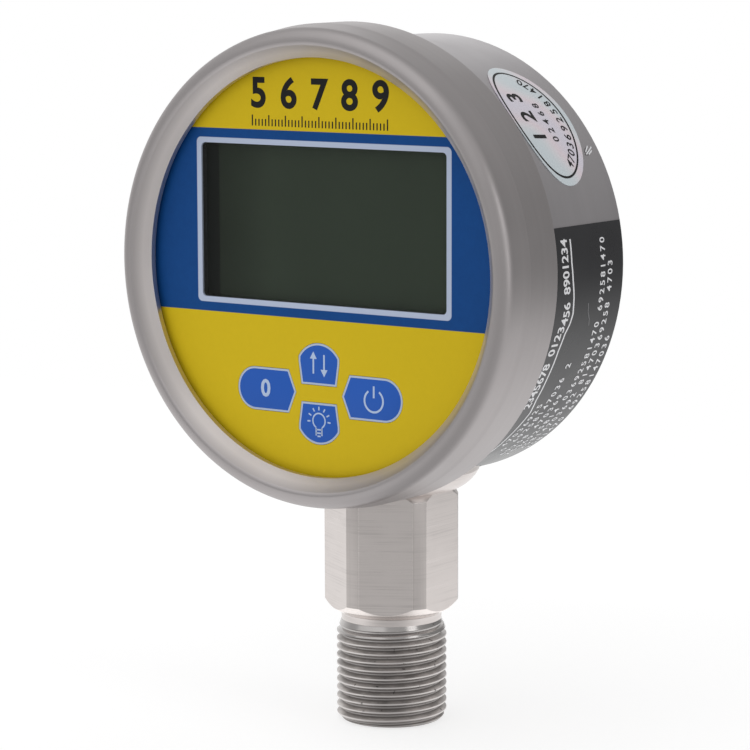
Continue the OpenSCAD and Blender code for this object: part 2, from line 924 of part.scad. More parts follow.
// Room that the stem and its collar leave round the rear edge of the bezel
module bezel_room() {
    at_face() layer(0, skirt_depth + ease) circle(r = bezel_r + slip);
}

// Dished steel collar that fills the gap between the hex and the round of the case
module stem_collar() {
    foot = [collar_foot_d / 2, hex_top];
    rim = [collar_d / 2, hex_top + collar_h];
    half = norm(rim - foot) / 2;
    across = [rim[1] - foot[1], foot[0] - rim[0]] / (2 * half);
    centre = (foot + rim) / 2 - across * sqrt(collar_bulge * collar_bulge - half * half);
    first = atan2(foot[1] - centre[1], foot[0] - centre[0]);
    last = atan2(rim[1] - centre[1], rim[0] - centre[0]);
    crown = rim[1] + collar_top;
    color("#b5b1ad") difference() {
        intersection() {
            rotate_extrude() polygon(concat([[seal_r + slip, hex_top], foot],
                arc(centre, collar_bulge, first, last), [[rim[0], crown], [seal_r + slip, crown]]));
            at_face() layer(0, case_back - collar_back_inset) circle(r = dial_height);
        }
        at_face() layer(-cut, case_back) circle(r = case_r + skin_gap);
        bezel_room();
    }
}

module stem_seal() {
    color("#1c1c1c") difference() {
        translate([0, 0, hex_top]) cylinder(h = stem_gap + case_wall, r = seal_r);
        translate([0, 0, hex_top - cut])
            cylinder(h = stem_gap + case_wall + 2 * cut, r = neck_d / 2 + hole_clear);
        at_face() layer(0, case_back) circle(r = case_r + skin_gap);
    }
}

module stem_saddle() {
    color("#8f8f8f") difference() {
        intersection() {
            translate([0, 0, hex_top]) cylinder(h = saddle_top - hex_top, r = saddle_r);
            at_face() layer(0, case_back) circle(r = case_in - skin_gap);
        }
        translate([0, 0, hex_top - cut])
            cylinder(h = saddle_top - hex_top + 2 * cut, r = neck_d / 2 + hole_clear);
    }
}

module stem_nut() {
    color("#9a9a9a") translate([0, 0, saddle_top]) difference() {
        linear_extrude(nut_t) circle(d = nut_af / cos(180 / hex_sides), $fn = 6);
        translate([0, 0, -cut]) cylinder(h = nut_t + 2 * cut, r = neck_d / 2 + thread_clear);
    }
}

module sensor_capsule() {
    color("#c4c4c6") translate([0, 0, chamber_floor]) difference() {
        cylinder(h = sensor_h, d = sensor_d);
        translate([0, 0, -cut]) cylinder(h = dish_t + cut, r = dish_r);
        translate([0, 0, (sensor_h - sensor_groove_w) / 2]) rotate_extrude()
            translate([sensor_d / 2 - sensor_groove, 0]) square([sensor_groove + cut, sensor_groove_w]);
    }
}

module sensor_oring() {
    tube_r = (sensor_groove + chamber_clear) / 2 - skin_gap;
    color("#151515") translate([0, 0, chamber_floor + sensor_h / 2]) rotate_extrude()
        translate([chamber_r - tube_r - skin_gap, 0]) circle(r = tube_r);
}

module sensor_retainer() {
    color("#b8b8ba") translate([0, 0, chamber_floor + sensor_h]) difference() {
        cylinder(h = retainer_h, d = sensor_d);
        translate([0, 0, -cut]) cylinder(h = retainer_h + 2 * cut, r = retainer_bore_r);
        translate([-sensor_d / 2 - cut, -retainer_slot / 2, retainer_h - retainer_slot])
            cube([sensor_d + 2 * cut, retainer_slot, retainer_slot + cut]);
    }
}

module sensor_pins() {
    color("#d8c070") translate([0, 0, chamber_floor + sensor_h]) for (i = [0 : sensor_pin_count - 1])
        rotate([0, 0, 360 * i / sensor_pin_count]) translate([sensor_pin_circle, 0, 0])
            cylinder(h = sensor_pin_h, r = sensor_pin_r);
}

// Black label wrapped round the case below its right side
module rating_label() {
    span = label_top_angle - label_foot_angle;
    low = -case_back + label_back_inset;
    color("#2e2f33") difference() {
        at_face() rotate([0, 0, label_foot_angle]) rotate_extrude(angle = span)
            translate([case_r + skin_gap, low]) square([label_t, -label_front - low]);
        translate([0, 0, hex_top]) cylinder(h = case_r, r = collar_d / 2 + label_clear);
    }
}

// Oval foil sticker on the upper right side of the case
module oval_sticker() {
    oval = [for (i = [0 : sticker_points - 1])
        let (a = 360 * i / sticker_points) [sticker_long * cos(a), sticker_short * sin(a)]];
    color("#d5d0dc") at_face() intersection() {
        layer(0, case_back) ring(case_r + skin_gap + sticker_t, case_r + skin_gap);
        rotate([0, 0, sticker_angle]) translate([0, 0, -sticker_depth]) rotate([0, 90, 0])
            linear_extrude(case_r + cut) rotate([0, 0, 90 - sticker_tilt]) polygon(oval);
    }
}

case_shell();
bezel_ring();
bezel_gasket();
case_oring();
overlay_film();
film_window();
front_panel();
lcd_glass();
lcd_holder();
lcd_pins();
backlight_panel();
main_board();
controller_chip();
converter_chip();
crystal_can();
capacitors();
battery_socket();
battery_plug();
lead_red();
lead_black();
sensor_socket();
sensor_plug();
sensor_cable();
switch_zero();
switch_unit();
switch_light();
switch_power();
button_zero();
button_unit();
button_light();
button_power();
key_zero();
key_unit();
key_light();
key_power();
battery_tray();
stack_screws();
cell_upper();
cell_middle();
cell_lower();
contact_springs();
contact_plates();
rear_cover();
cover_gasket();
cover_screws();
stem();
stem_seal();
stem_collar();
stem_saddle();
stem_nut();
sensor_capsule();
sensor_oring();
sensor_retainer();
sensor_pins();
rating_label();
oval_sticker();
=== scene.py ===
import json
import math
import bmesh
import bpy
from mathutils import Matrix, Vector


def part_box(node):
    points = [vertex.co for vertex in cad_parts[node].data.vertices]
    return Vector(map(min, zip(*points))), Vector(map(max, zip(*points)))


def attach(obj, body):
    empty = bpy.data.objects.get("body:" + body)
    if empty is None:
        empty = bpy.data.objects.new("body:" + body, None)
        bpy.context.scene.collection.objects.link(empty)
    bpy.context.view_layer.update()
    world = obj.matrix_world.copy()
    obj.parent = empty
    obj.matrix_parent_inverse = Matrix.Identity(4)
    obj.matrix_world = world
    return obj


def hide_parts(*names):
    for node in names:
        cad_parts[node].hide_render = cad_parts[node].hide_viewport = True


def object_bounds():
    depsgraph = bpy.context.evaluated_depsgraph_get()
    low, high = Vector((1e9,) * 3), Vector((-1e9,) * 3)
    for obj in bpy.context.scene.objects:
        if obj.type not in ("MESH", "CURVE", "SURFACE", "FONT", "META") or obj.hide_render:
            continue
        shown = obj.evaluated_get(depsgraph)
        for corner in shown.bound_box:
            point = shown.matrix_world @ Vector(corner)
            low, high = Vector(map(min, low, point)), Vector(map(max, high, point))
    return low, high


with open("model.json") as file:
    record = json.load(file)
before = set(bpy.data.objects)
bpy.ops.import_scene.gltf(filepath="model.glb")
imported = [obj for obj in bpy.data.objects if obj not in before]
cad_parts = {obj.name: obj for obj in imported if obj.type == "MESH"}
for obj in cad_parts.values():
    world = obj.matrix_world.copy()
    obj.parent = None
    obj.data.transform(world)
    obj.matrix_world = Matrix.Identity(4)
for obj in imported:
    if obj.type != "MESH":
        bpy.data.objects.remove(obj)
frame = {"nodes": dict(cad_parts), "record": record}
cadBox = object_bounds()
mm = 0.001
micron = 0.000001
fullTurn = 2 * math.pi
mergeReach = 1e-7  # vertices nearer than this become one
cutReach = 1e-8

# Places that every piece shares, read from the frame
filmLow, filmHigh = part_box("overlay_film")
dialHeight = (filmLow[2] + filmHigh[2]) / 2
faceDepth = filmLow[1]
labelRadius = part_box("rating_label")[1][0]
labelSkin = 0.02 * mm  # how far the marks stand off the label and the sticker
onFace = Matrix.Translation((0, faceDepth, dialHeight)) @ Matrix.Rotation(math.pi / 2, 4, "X")
print("frame loaded, dial at", round(dialHeight, 4))

# Camera: where the photograph was taken from
cameraView = {
    "azimuth": 35.695,
    "elevation": 7.887,
    "roll": -0.171,
    "distance": 0.53295,
    "target": (0.011352, -0.0207, 0.065475),
    "lens": 149.83,
    "sensor": 36,
    "clipStart": 0.01,
}


def placeCamera(view):
    turn = math.radians(view["azimuth"])
    lift = math.radians(view["elevation"])
    roll = math.radians(view["roll"])
    back = Vector((math.sin(turn) * math.cos(lift), -math.cos(turn) * math.cos(lift), math.sin(lift)))
    right = (-back).cross(Vector((0, 0, 1))).normalized()
    up = right.cross(-back)
    rolledRight = math.cos(roll) * right + math.sin(roll) * up
    rolledUp = math.cos(roll) * up - math.sin(roll) * right
    turned = Matrix((rolledRight, rolledUp, back)).transposed().to_4x4()
    lensData = bpy.data.cameras.new("photoCamera")
    lensData.lens = view["lens"]
    lensData.sensor_width = view["sensor"]
    lensData.clip_start = view["clipStart"]
    camera = bpy.data.objects.new("photoCamera", lensData)
    camera.matrix_world = Matrix.Translation(Vector(view["target"]) + view["distance"] * back) @ turned
    bpy.context.scene.collection.objects.link(camera)
    bpy.context.scene.camera = camera


placeCamera(cameraView)
print("camera placed")


# Node helpers for the finishes. A socket's name has _ for a space
def setSockets(node, **values):
    for socket, value in values.items():
        node.inputs[socket.replace("_", " ")].default_value = value


def startFinish(name, color, roughness, metallic=0.0, **sockets):
    material = bpy.data.materials.new(name)
    material.use_nodes = True
    shader = material.node_tree.nodes["Principled BSDF"]
    setSockets(shader, Base_Color=(*color, 1), Roughness=roughness, Metallic=metallic, **sockets)
    return material, material.node_tree, shader


def addNode(tree, kind, **settings):
    node = tree.nodes.new(kind)
    for key, value in settings.items():
        setattr(node, key, value)
    return node


def feed(tree, value, socket):
    if isinstance(value, bpy.types.NodeSocket):
        tree.links.new(value, socket)
    else:
        socket.default_value = value


def calc(tree, operation, first, second=0.0, third=0.0):
    node = addNode(tree, "ShaderNodeMath", operation=operation)
    for value, socket in zip((first, second, third), node.inputs):
        feed(tree, value, socket)
    return node.outputs[0]


def weigh(tree, *parts):
    # Sum of values, each times its share
    total = 0.0
    for value, share in parts:
        total = calc(tree, "MULTIPLY_ADD", value, share, total)
    return total


def spanOf(tree, first, second):
    # Length of a vector that has these two parts
    squares = calc(tree, "MULTIPLY", first, first), calc(tree, "MULTIPLY", second, second)
    return calc(tree, "SQRT", calc(tree, "ADD", *squares))


def pieceCoords(tree, move=(0, 0, 0), turn=(0, 0, 0), stretch=(1, 1, 1)):
    coords = addNode(tree, "ShaderNodeTexCoord")
    mapping = addNode(tree, "ShaderNodeMapping")
    setSockets(mapping, Location=move, Rotation=turn, Scale=stretch)
    tree.links.new(coords.outputs["Object"], mapping.inputs["Vector"])
    return mapping.outputs["Vector"]


def dialCoords(tree, turn=(0, 0, 0)):
    return pieceCoords(tree, (0, 0, -dialHeight), turn)


def splitVector(tree, vector):
    node = addNode(tree, "ShaderNodeSeparateXYZ")
    tree.links.new(vector, node.inputs[0])
    return node.outputs


def noise(tree, vector, scale, detail=2.0, rough=0.5):
    node = addNode(tree, "ShaderNodeTexNoise")
    feed(tree, vector, node.inputs["Vector"])
    setSockets(node, Scale=scale, Detail=detail, Roughness=rough)
    return node.outputs["Fac"]


def stretchedNoise(tree, stretch, detail=3.0, rough=0.5):
    return noise(tree, pieceCoords(tree, stretch=stretch), 1.0, detail, rough)


def ringNoise(tree, radius, along, scale, detail):
    # Changes only with the radius and the depth, so it draws rings about the dial's axis
    node = addNode(tree, "ShaderNodeCombineXYZ")
    feed(tree, calc(tree, "MULTIPLY", radius, scale), node.inputs[0])
    feed(tree, calc(tree, "MULTIPLY", along, scale), node.inputs[1])
    return noise(tree, node.outputs[0], 1.0, detail)


def spread(tree, value, low, high, toLow, toHigh):
    node = addNode(tree, "ShaderNodeMapRange")
    feed(tree, value, node.inputs["Value"])
    setSockets(node, From_Min=low, From_Max=high, To_Min=toLow, To_Max=toHigh)
    return node.outputs["Result"]


def blendColors(tree, factor, first, second):
    node = addNode(tree, "ShaderNodeMix", data_type="RGBA")
    feed(tree, factor, node.inputs[0])
    for place, color in ((6, first), (7, second)):
        feed(tree, color if isinstance(color, bpy.types.NodeSocket) else (*color, 1), node.inputs[place])
    return node.outputs[2]


def shade(color, share):
    return tuple(min(1, part * share) for part in color)


def addBump(tree, shader, height, distance, strength=0.5):
    bump = addNode(tree, "ShaderNodeBump")
    setSockets(bump, Distance=distance, Strength=strength)
    feed(tree, height, bump.inputs["Height"])
    tree.links.new(bump.outputs["Normal"], shader.inputs["Normal"])


def paint(tree, shader, color):
    tree.links.new(color, shader.inputs["Base Color"])


noiseReach = (0.3, 0.7)  # where most of a noise lies


def roughen(tree, shader, value, middle, shift):
    tree.links.new(spread(tree, value, *noiseReach, middle - shift, middle + shift), shader.inputs["Roughness"])


# Steel turned about the dial's axis. All noise scales are per metre
turnedLook = {
    "grain": 2600,
    "patches": 55,
    "bands": 330,
    "ringShare": 0.3,
    "patchShare": 0.3,
    "bandShare": 0.4,
    "roughShift": 0.05,
    "bump": 0.6,
}


def turnedAboutDial(name, color, roughness, lineScale, depth, cloud=0.06, innerHighlight=None):
    look = turnedLook
    material, tree, shader = startFinish(name, color, roughness, 1.0)
    vector = dialCoords(tree)
    across, along, height = splitVector(tree, vector)
    radius = spanOf(tree, across, height)
    rings = ringNoise(tree, radius, along, lineScale, 3.0)
    bands = spread(tree, ringNoise(tree, radius, along, look["bands"], 2.0), *noiseReach, 0.0, 1.0)
    grain = noise(tree, vector, look["grain"], 3.0)
    patches = noise(tree, vector, look["patches"], 3.0)
    tone = weigh(tree, (rings, look["ringShare"]), (patches, look["patchShare"]), (bands, look["bandShare"]))
    ground = blendColors(tree, tone, shade(color, 1 - cloud), shade(color, 1 + cloud))
    if innerHighlight:
        # Painted highlight: the sloping inner face gets a lighter steel colour than the rest of the ring
        inner = spread(tree, radius, innerHighlight["from"], innerHighlight["to"], 1.0, 0.0)
        ground = blendColors(tree, inner, ground, innerHighlight["color"])
    paint(tree, shader, ground)
    roughen(tree, shader, patches, roughness, look["roughShift"])
    addBump(tree, shader, calc(tree, "ADD", rings, grain), depth, look["bump"])
    return material


# Steel turned about the stem: fine lines, short level cutting marks and, on the hex's corners, upright streaks
lathedLook = {
    "lineStretch": (30, 30, 5200),
    "lineShare": 0.6,
    "patchStretch": (260, 260, 90),
    "patchShare": 0.4,
    "markStretch": (25, 25, 3400),
    "markReach": (0.46, 0.66),
    "endStretch": (130, 130, 350),
    "endReach": (0.38, 0.60),
    "markShare": 0.75,
    "streakStretch": (1900, 1900, 25),
    "streakReach": (0.35, 0.75),
    "deep": 0.80,
    "roughUp": 0.005,
    "roughShift": 0.055,
    "bump": 0.6,
}


def lathedAboutStem(name, color, roughness, depth, cloud=0.07, streak=0.0):
    look = lathedLook
    material, tree, shader = startFinish(name, color, roughness, 1.0)
    lines = stretchedNoise(tree, look["lineStretch"], rough=0.6)
    marks = spread(tree, stretchedNoise(tree, look["markStretch"], rough=0.7), *look["markReach"], 0.0, 1.0)
    ends = spread(tree, stretchedNoise(tree, look["endStretch"], 2.0), *look["endReach"], 0.0, 1.0)
    cutMarks = calc(tree, "MULTIPLY", marks, ends)
    patches = stretchedNoise(tree, look["patchStretch"])
    tone = weigh(tree, (lines, look["lineShare"]), (patches, look["patchShare"]))
    ground = blendColors(tree, tone, shade(color, 1 - cloud), shade(color, 1 + cloud))
    deep = shade(color, look["deep"])
    if streak:
        grain = stretchedNoise(tree, look["streakStretch"], rough=0.6)
        ground = blendColors(tree, spread(tree, grain, *look["streakReach"], 0.0, streak), ground, deep)
    paint(tree, shader, blendColors(tree, calc(tree, "MULTIPLY", cutMarks, look["markShare"]), ground, deep))
    roughen(tree, shader, lines, roughness + look["roughUp"], look["roughShift"])
    addBump(tree, shader, lines, depth, look["bump"])
    return material


# Thread: dull mottled flanks with painted shade in the grooves' roots, thin bright crests, sparse dark pits, and
# smoother turns where it runs out, painted darker as a painted reflection
threadLook = {
    # Painted shade: the root colour darkens the bottoms of the grooves, fading out up the flanks
    "root": (0.36, 0.34, 0.33),
    "flank": (0.72, 0.685, 0.665),
    "crest": (0.62, 0.59, 0.575),
    "grooveShadeFade": (9.0 * mm, 9.6 * mm),
    "crestReach": (9.74 * mm, 9.88 * mm),
    "mottleStretch": (210, 210, 420),
    "mottleReach": (0.35, 0.65),
    # Painted reflection: a darker colour on the run-out turns for the dark surroundings they mirror
    "runOutShade": (0.46, 0.44, 0.43),
    "shineReach": (15.2 * mm, 16.0 * mm),
    "pit": (0.10, 0.09, 0.09),
    "pitScale": 1150,
    "pitReach": (0.79, 0.82),
    "pitShare": 0.7,
    "flankRough": 0.46,
    "crestRough": 0.34,
    "shineRough": 0.20,
    "lineStretch": (60, 60, 9000),
    "depth": 4 * micron,
}


def threadFinish(look):
    material, tree, shader = startFinish("threadSteel", look["crest"], look["crestRough"], 1.0)
    vector = pieceCoords(tree)
    across, away, height = splitVector(tree, vector)
    radius = spanOf(tree, across, away)
    # Painted shade in the grooves, fading out from the root towards the crest
    grooveShadeFade = spread(tree, radius, *look["grooveShadeFade"], 0.0, 1.0)
    top = spread(tree, radius, *look["crestReach"], 0.0, 1.0)
    patches = stretchedNoise(tree, look["mottleStretch"], 4.0, 0.6)
    mottle = spread(tree, patches, *look["mottleReach"], 0.0, 1.0)
    flank = blendColors(tree, calc(tree, "MULTIPLY", grooveShadeFade, mottle), look["root"], look["flank"])
    # Painted reflection: the run-out turns blend to a darker colour
    runOut = spread(tree, height, *look["shineReach"], 0.0, 1.0)
    ground = blendColors(tree, runOut, blendColors(tree, top, flank, look["crest"]), look["runOutShade"])
    pits = spread(tree, noise(tree, vector, look["pitScale"], 0.0), *look["pitReach"], 0.0, look["pitShare"])
    paint(tree, shader, blendColors(tree, pits, ground, look["pit"]))
    rough = spread(tree, top, 0.0, 1.0, look["flankRough"], look["crestRough"])
    shiny = calc(tree, "SUBTRACT", look["shineRough"], rough)
    tree.links.new(calc(tree, "MULTIPLY_ADD", runOut, shiny, rough), shader.inputs["Roughness"])
    addBump(tree, shader, stretchedNoise(tree, look["lineStretch"], 2.0), look["depth"])
    return material


# Small metal parts and moulded parts
metalLook = {"grain": 900, "dark": 0.88, "roughShift": 0.06, "depth": 4 * micron}


def plainMetal(name, color, roughness):
    material, tree, shader = startFinish(name, color, roughness, 1.0)
    grain = noise(tree, pieceCoords(tree), metalLook["grain"], 3.0)
    paint(tree, shader, blendColors(tree, grain, shade(color, metalLook["dark"]), color))
    roughen(tree, shader, grain, roughness, metalLook["roughShift"])
    addBump(tree, shader, grain, metalLook["depth"])
    return material


def moulded(name, color, roughness, scale=1800, depth=6 * micron, shift=0.12, **sockets):
    material, tree, shader = startFinish(name, color, roughness, 0.0, **sockets)
    grain = noise(tree, pieceCoords(tree), scale, 3.0)
    cloud = noise(tree, pieceCoords(tree), scale / 30, 2.0)
    paint(tree, shader, blendColors(tree, cloud, shade(color, 1 - shift), shade(color, 1 + shift)))
    roughen(tree, shader, grain, roughness, 0.05)
    addBump(tree, shader, grain, depth)
    return material


def printInk(name, color, shift=0.04, depth=2 * micron, gloss=0.15):
    return moulded(name, color, 0.45, 1500, depth, shift, Specular_IOR_Level=gloss)


# Printed face film: yellow ground, blue band and pale display frame, zoned by place on the dial
filmPrint = {
    "yellow": (0.76, 0.55, 0.013),
    "yellowDark": 0.9,
    "blue": (0.006, 0.065, 0.250),
    "blueDark": 0.8,
    "blueLight": 1.25,
    "frame": (0.51, 0.58, 0.74),
    "roughness": 0.5,
    "gloss": 0.12,
    "bandLow": -8.93 * mm,
    "bandHigh": 23.45 * mm,
    "frameHalfWidth": 27.15 * mm,
    "frameHalfHeight": 14.55 * mm,
    "frameMiddle": 7.25 * mm,
    "frameCorner": 0.9 * mm,
    "edge": 0.05 * mm,
    "specks": 900,
    "speckShare": 0.6,
    "clouds": 40,
    "cloudShare": 0.4,
    "grain": 2500,
    "depth": 3 * micron,
    "bump": 0.4,
}


def filmFinish(look):
    material, tree, shader = startFinish("printedFilm", look["yellow"], look["roughness"],
                                         Specular_IOR_Level=look["gloss"])
    vector = dialCoords(tree)
    parts = splitVector(tree, vector)
    edge = look["edge"]
    bandHalf = (look["bandHigh"] - look["bandLow"]) / 2
    bandMiddle = (look["bandHigh"] + look["bandLow"]) / 2
    fromBand = calc(tree, "ABSOLUTE", calc(tree, "SUBTRACT", parts[2], bandMiddle))
    band = spread(tree, fromBand, bandHalf - edge, bandHalf + edge, 1.0, 0.0)
    # Distance outside the frame's rounded corners
    corner = look["frameCorner"]
    fromMiddle = calc(tree, "ABSOLUTE", calc(tree, "SUBTRACT", parts[2], look["frameMiddle"]))
    reachX = calc(tree, "SUBTRACT", calc(tree, "ABSOLUTE", parts[0]), look["frameHalfWidth"] - corner)
    reachZ = calc(tree, "SUBTRACT", fromMiddle, look["frameHalfHeight"] - corner)
    outside = spanOf(tree, calc(tree, "MAXIMUM", reachX, 0.0), calc(tree, "MAXIMUM", reachZ, 0.0))
    rim = spread(tree, outside, corner - edge, corner + edge, 1.0, 0.0)
    speck = noise(tree, vector, look["specks"], 4.0, 0.7)
    tone = weigh(tree, (speck, look["speckShare"]), (noise(tree, vector, look["clouds"]), look["cloudShare"]))
    yellow = blendColors(tree, tone, shade(look["yellow"], look["yellowDark"]), look["yellow"])
    blue = blendColors(tree, tone, shade(look["blue"], look["blueDark"]), shade(look["blue"], look["blueLight"]))
    printed = blendColors(tree, band, yellow, blue)
    paint(tree, shader, blendColors(tree, rim, printed, look["frame"]))
    addBump(tree, shader, noise(tree, vector, look["grain"]), look["depth"], look["bump"])
    return material


# Display cell: painted shade, darkest at its left with a painted shadow band along the left edge from the recess's
# wall, and paler towards its right
lcdLook = {
    # The left colour is painted shade, and the border colour is a painted shadow along the left edge
    "left": (0.010, 0.015, 0.009),
    "right": (0.051, 0.070, 0.048),
    "border": (0.003, 0.004, 0.004),
    "roughness": 0.3,
    "gloss": 0.1,
    "shadeSlideReach": (-26 * mm, -12 * mm),
    "shadeSlideShare": 0.75,
    "recessShadowReach": (-23.6 * mm, -23.1 * mm),
    "clouds": 60,
    "cloudShare": 0.25,
}


def lcdFinish(look):
    material, tree, shader = startFinish("lcdCell", look["right"], look["roughness"],
                                         Specular_IOR_Level=look["gloss"])
    vector = dialCoords(tree)
    across = splitVector(tree, vector)[0]
    # Painted shade: darker towards the left, with a painted shadow band along the left edge
    shadeSlide = spread(tree, across, *look["shadeSlideReach"], 0.0, look["shadeSlideShare"])
    clear = spread(tree, across, *look["recessShadowReach"], 0.0, 1.0)
    tone = calc(tree, "MULTIPLY_ADD", noise(tree, vector, look["clouds"]), look["cloudShare"], shadeSlide)
    cell = blendColors(tree, tone, look["left"], look["right"])
    paint(tree, shader, blendColors(tree, clear, look["border"], cell))
    return material


# Window: a clear film by its low opacity, so that the light reaches the cell behind it
windowLook = {"tint": (0.03, 0.035, 0.03), "opacity": 0.12, "roughness": 0.06, "roughShift": 0.02, "clouds": 60}


def windowFinish(look):
    material, tree, shader = startFinish("windowFilm", look["tint"], look["roughness"], Alpha=look["opacity"])
    cloud = noise(tree, pieceCoords(tree), look["clouds"])
    roughen(tree, shader, cloud, look["roughness"], look["roughShift"])
    return material


# Side label
labelLook = {
    "dark": (0.010, 0.010, 0.012),
    "light": (0.020, 0.020, 0.023),
    "roughness": 0.31,
    "roughShift": 0.07,
    "clouds": 90,
    "grain": 2600,
    "grainShare": 0.05,
    "depth": 60 * micron,
}


def labelFinish(look):
    material, tree, shader = startFinish("labelFilm", look["dark"], look["roughness"])
    vector = pieceCoords(tree)
    cloud = noise(tree, vector, look["clouds"], 3.0)
    grain = noise(tree, vector, look["grain"])
    paint(tree, shader, blendColors(tree, cloud, look["dark"], look["light"]))
    roughen(tree, shader, cloud, look["roughness"], look["roughShift"])
    addBump(tree, shader, calc(tree, "MULTIPLY_ADD", grain, look["grainShare"], cloud), look["depth"])
    return material


# Sticker foil, with soft bands of tints
foilLook = {
    "base": (0.76, 0.73, 0.76),
    "tints": [(0.0, (0.62, 0.78, 0.82)), (0.3, (0.80, 0.79, 0.83)), (0.62, (0.88, 0.72, 0.79)),
              (1.0, (0.76, 0.72, 0.86))],
    "tintShare": 0.55,
    "waves": 26,
    "waveBend": 6,
    "waveTurn": (0.4, 0.7, 0.3),
    "roughness": 0.34,
    "metallic": 0.12,
    "coat": 0.2,
    "grain": 2400,
    "depth": 6 * micron,
}


def foilFinish(look):
    material, tree, shader = startFinish("stickerFoil", look["base"], look["roughness"], look["metallic"],
                                         Coat_Weight=look["coat"], Coat_Roughness=0.2)
    wave = addNode(tree, "ShaderNodeTexWave", wave_type="BANDS", bands_direction="DIAGONAL")
    tree.links.new(pieceCoords(tree, turn=look["waveTurn"]), wave.inputs["Vector"])
    setSockets(wave, Scale=look["waves"], Distortion=look["waveBend"], Detail=3)
    ramp = addNode(tree, "ShaderNodeValToRGB")
    tree.links.new(wave.outputs["Fac"], ramp.inputs[0])
    while len(ramp.color_ramp.elements) < len(look["tints"]):
        ramp.color_ramp.elements.new(0.5)
    for stop, (place, color) in zip(ramp.color_ramp.elements, look["tints"]):
        stop.position = place
        stop.color = (*color, 1)
    paint(tree, shader, blendColors(tree, look["tintShare"], look["base"], ramp.outputs[0]))
    addBump(tree, shader, noise(tree, pieceCoords(tree), look["grain"], 3.0), look["depth"])
    return material


# Circuit board, with tracks as the joints of a brick pattern
boardLook = {
    "ground": (0.018, 0.15, 0.065),
    "patch": (0.022, 0.17, 0.075),
    "track": (0.05, 0.24, 0.10),
    "roughness": 0.35,
    "coat": 0.4,
    "trackScale": 160,
    "trackWidth": 0.03,
    "grain": 700,
    "depth": 10 * micron,
    "bump": 0.4,
}


def boardFinish(look):
    material, tree, shader = startFinish("boardGreen", look["ground"], look["roughness"],
                                         Coat_Weight=look["coat"], Coat_Roughness=0.2)
    tracks = addNode(tree, "ShaderNodeTexBrick")
    tree.links.new(dialCoords(tree, (math.pi / 2, 0, 0)), tracks.inputs["Vector"])
    setSockets(tracks, Scale=look["trackScale"], Mortar_Size=look["trackWidth"], Color1=(*look["ground"], 1),
               Color2=(*look["patch"], 1), Mortar=(*look["track"], 1))
    paint(tree, shader, tracks.outputs["Color"])
    addBump(tree, shader, noise(tree, dialCoords(tree), look["grain"]), look["depth"], look["bump"])
    return material


# Painted highlight: a lighter steel colour on the bezel's sloping inner face
bezelInnerHighlight = {"from": 37.2 * mm, "to": 38.7 * mm, "color": (0.66, 0.62, 0.61)}
bezelSteel = turnedAboutDial("bezelSteel", (0.40, 0.376, 0.376), 0.45, lineScale=5200, depth=5 * micron, cloud=0.09,
                             innerHighlight=bezelInnerHighlight)
caseSteel = turnedAboutDial("caseSteel", (0.47, 0.45, 0.46), 0.40, lineScale=4200, depth=6 * micron)
stemSteel = lathedAboutStem("stemSteel", (0.645, 0.60, 0.58), 0.32, depth=8 * micron)
# Lighter steel: a painted highlight on the hex's broken edges and a painted reflection on the foot's cone
edgeHighlightSteel = lathedAboutStem("edgeHighlightSteel", (0.88, 0.82, 0.79), 0.28, depth=4 * micron, cloud=0.03)
cornerSteel = lathedAboutStem("cornerSteel", (0.49, 0.455, 0.44), 0.38, depth=6 * micron, cloud=0.05, streak=0.5)
threadSteel = threadFinish(threadLook)
keyBlue = printInk("keyBlue", (0.026, 0.120, 0.520), shift=0.06, depth=3 * micron)
keyBorder = printInk("keyBorder", (0.50, 0.58, 0.72), depth=3 * micron)
symbolInk = printInk("symbolInk", (0.50, 0.62, 0.84))
darkInk = printInk("darkInk", (0.014, 0.014, 0.014), shift=0.1)
greyInk = printInk("greyInk", (0.30, 0.30, 0.31), shift=0.1)
whiteInk = printInk("whiteInk", (0.82, 0.82, 0.84), gloss=0.3)

finishes = {
    "case_steel": caseSteel,
    "bezel_steel": bezelSteel,
    "stem_steel": stemSteel,
    "fastener_steel": plainMetal("fastenerSteel", (0.62, 0.61, 0.60), 0.28),
    "sensor_steel": plainMetal("sensorSteel", (0.60, 0.60, 0.61), 0.30),
    "black_rubber": moulded("blackRubber", (0.016, 0.016, 0.016), 0.62, scale=1400, depth=10 * micron),
    "printed_film": filmFinish(filmPrint),
    "window_film": windowFinish(windowLook),
    "key_film": keyBorder,
    "panel_plastic": moulded("panelPlastic", (0.018, 0.018, 0.020), 0.5),
    "lcd_cell": lcdFinish(lcdLook),
    "white_plastic": moulded("whitePlastic", (0.78, 0.78, 0.74), 0.45),
    "contact_metal": plainMetal("contactMetal", (0.70, 0.67, 0.58), 0.32),
    "board_green": boardFinish(boardLook),
    "chip_black": moulded("chipBlack", (0.02, 0.02, 0.022), 0.5),
    "switch_plastic": moulded("switchPlastic", (0.05, 0.05, 0.055), 0.48),
    "button_plastic": moulded("buttonPlastic", (0.62, 0.58, 0.48), 0.45),
    "capacitor_sleeve": moulded("capacitorSleeve", (0.03, 0.04, 0.12), 0.3, Coat_Weight=0.4),
    "red_insulation": moulded("redInsulation", (0.5, 0.02, 0.02), 0.42),
    "black_insulation": moulded("blackInsulation", (0.015, 0.015, 0.015), 0.45),
    "tray_plastic": moulded("trayPlastic", (0.03, 0.032, 0.036), 0.5),
    "cell_sleeve": moulded("cellSleeve", (0.05, 0.055, 0.07), 0.3, Coat_Weight=0.5),
    "label_film": labelFinish(labelLook),
    "sticker_foil": foilFinish(foilLook),
}
for entry in frame["record"]["subparts"]:
    node = frame["nodes"][entry["node"]]
    if not node.material_slots:
        node.data.materials.append(None)
    for place in node.material_slots:
        place.material = finishes[entry["material_slot"]]
print("finishes made")


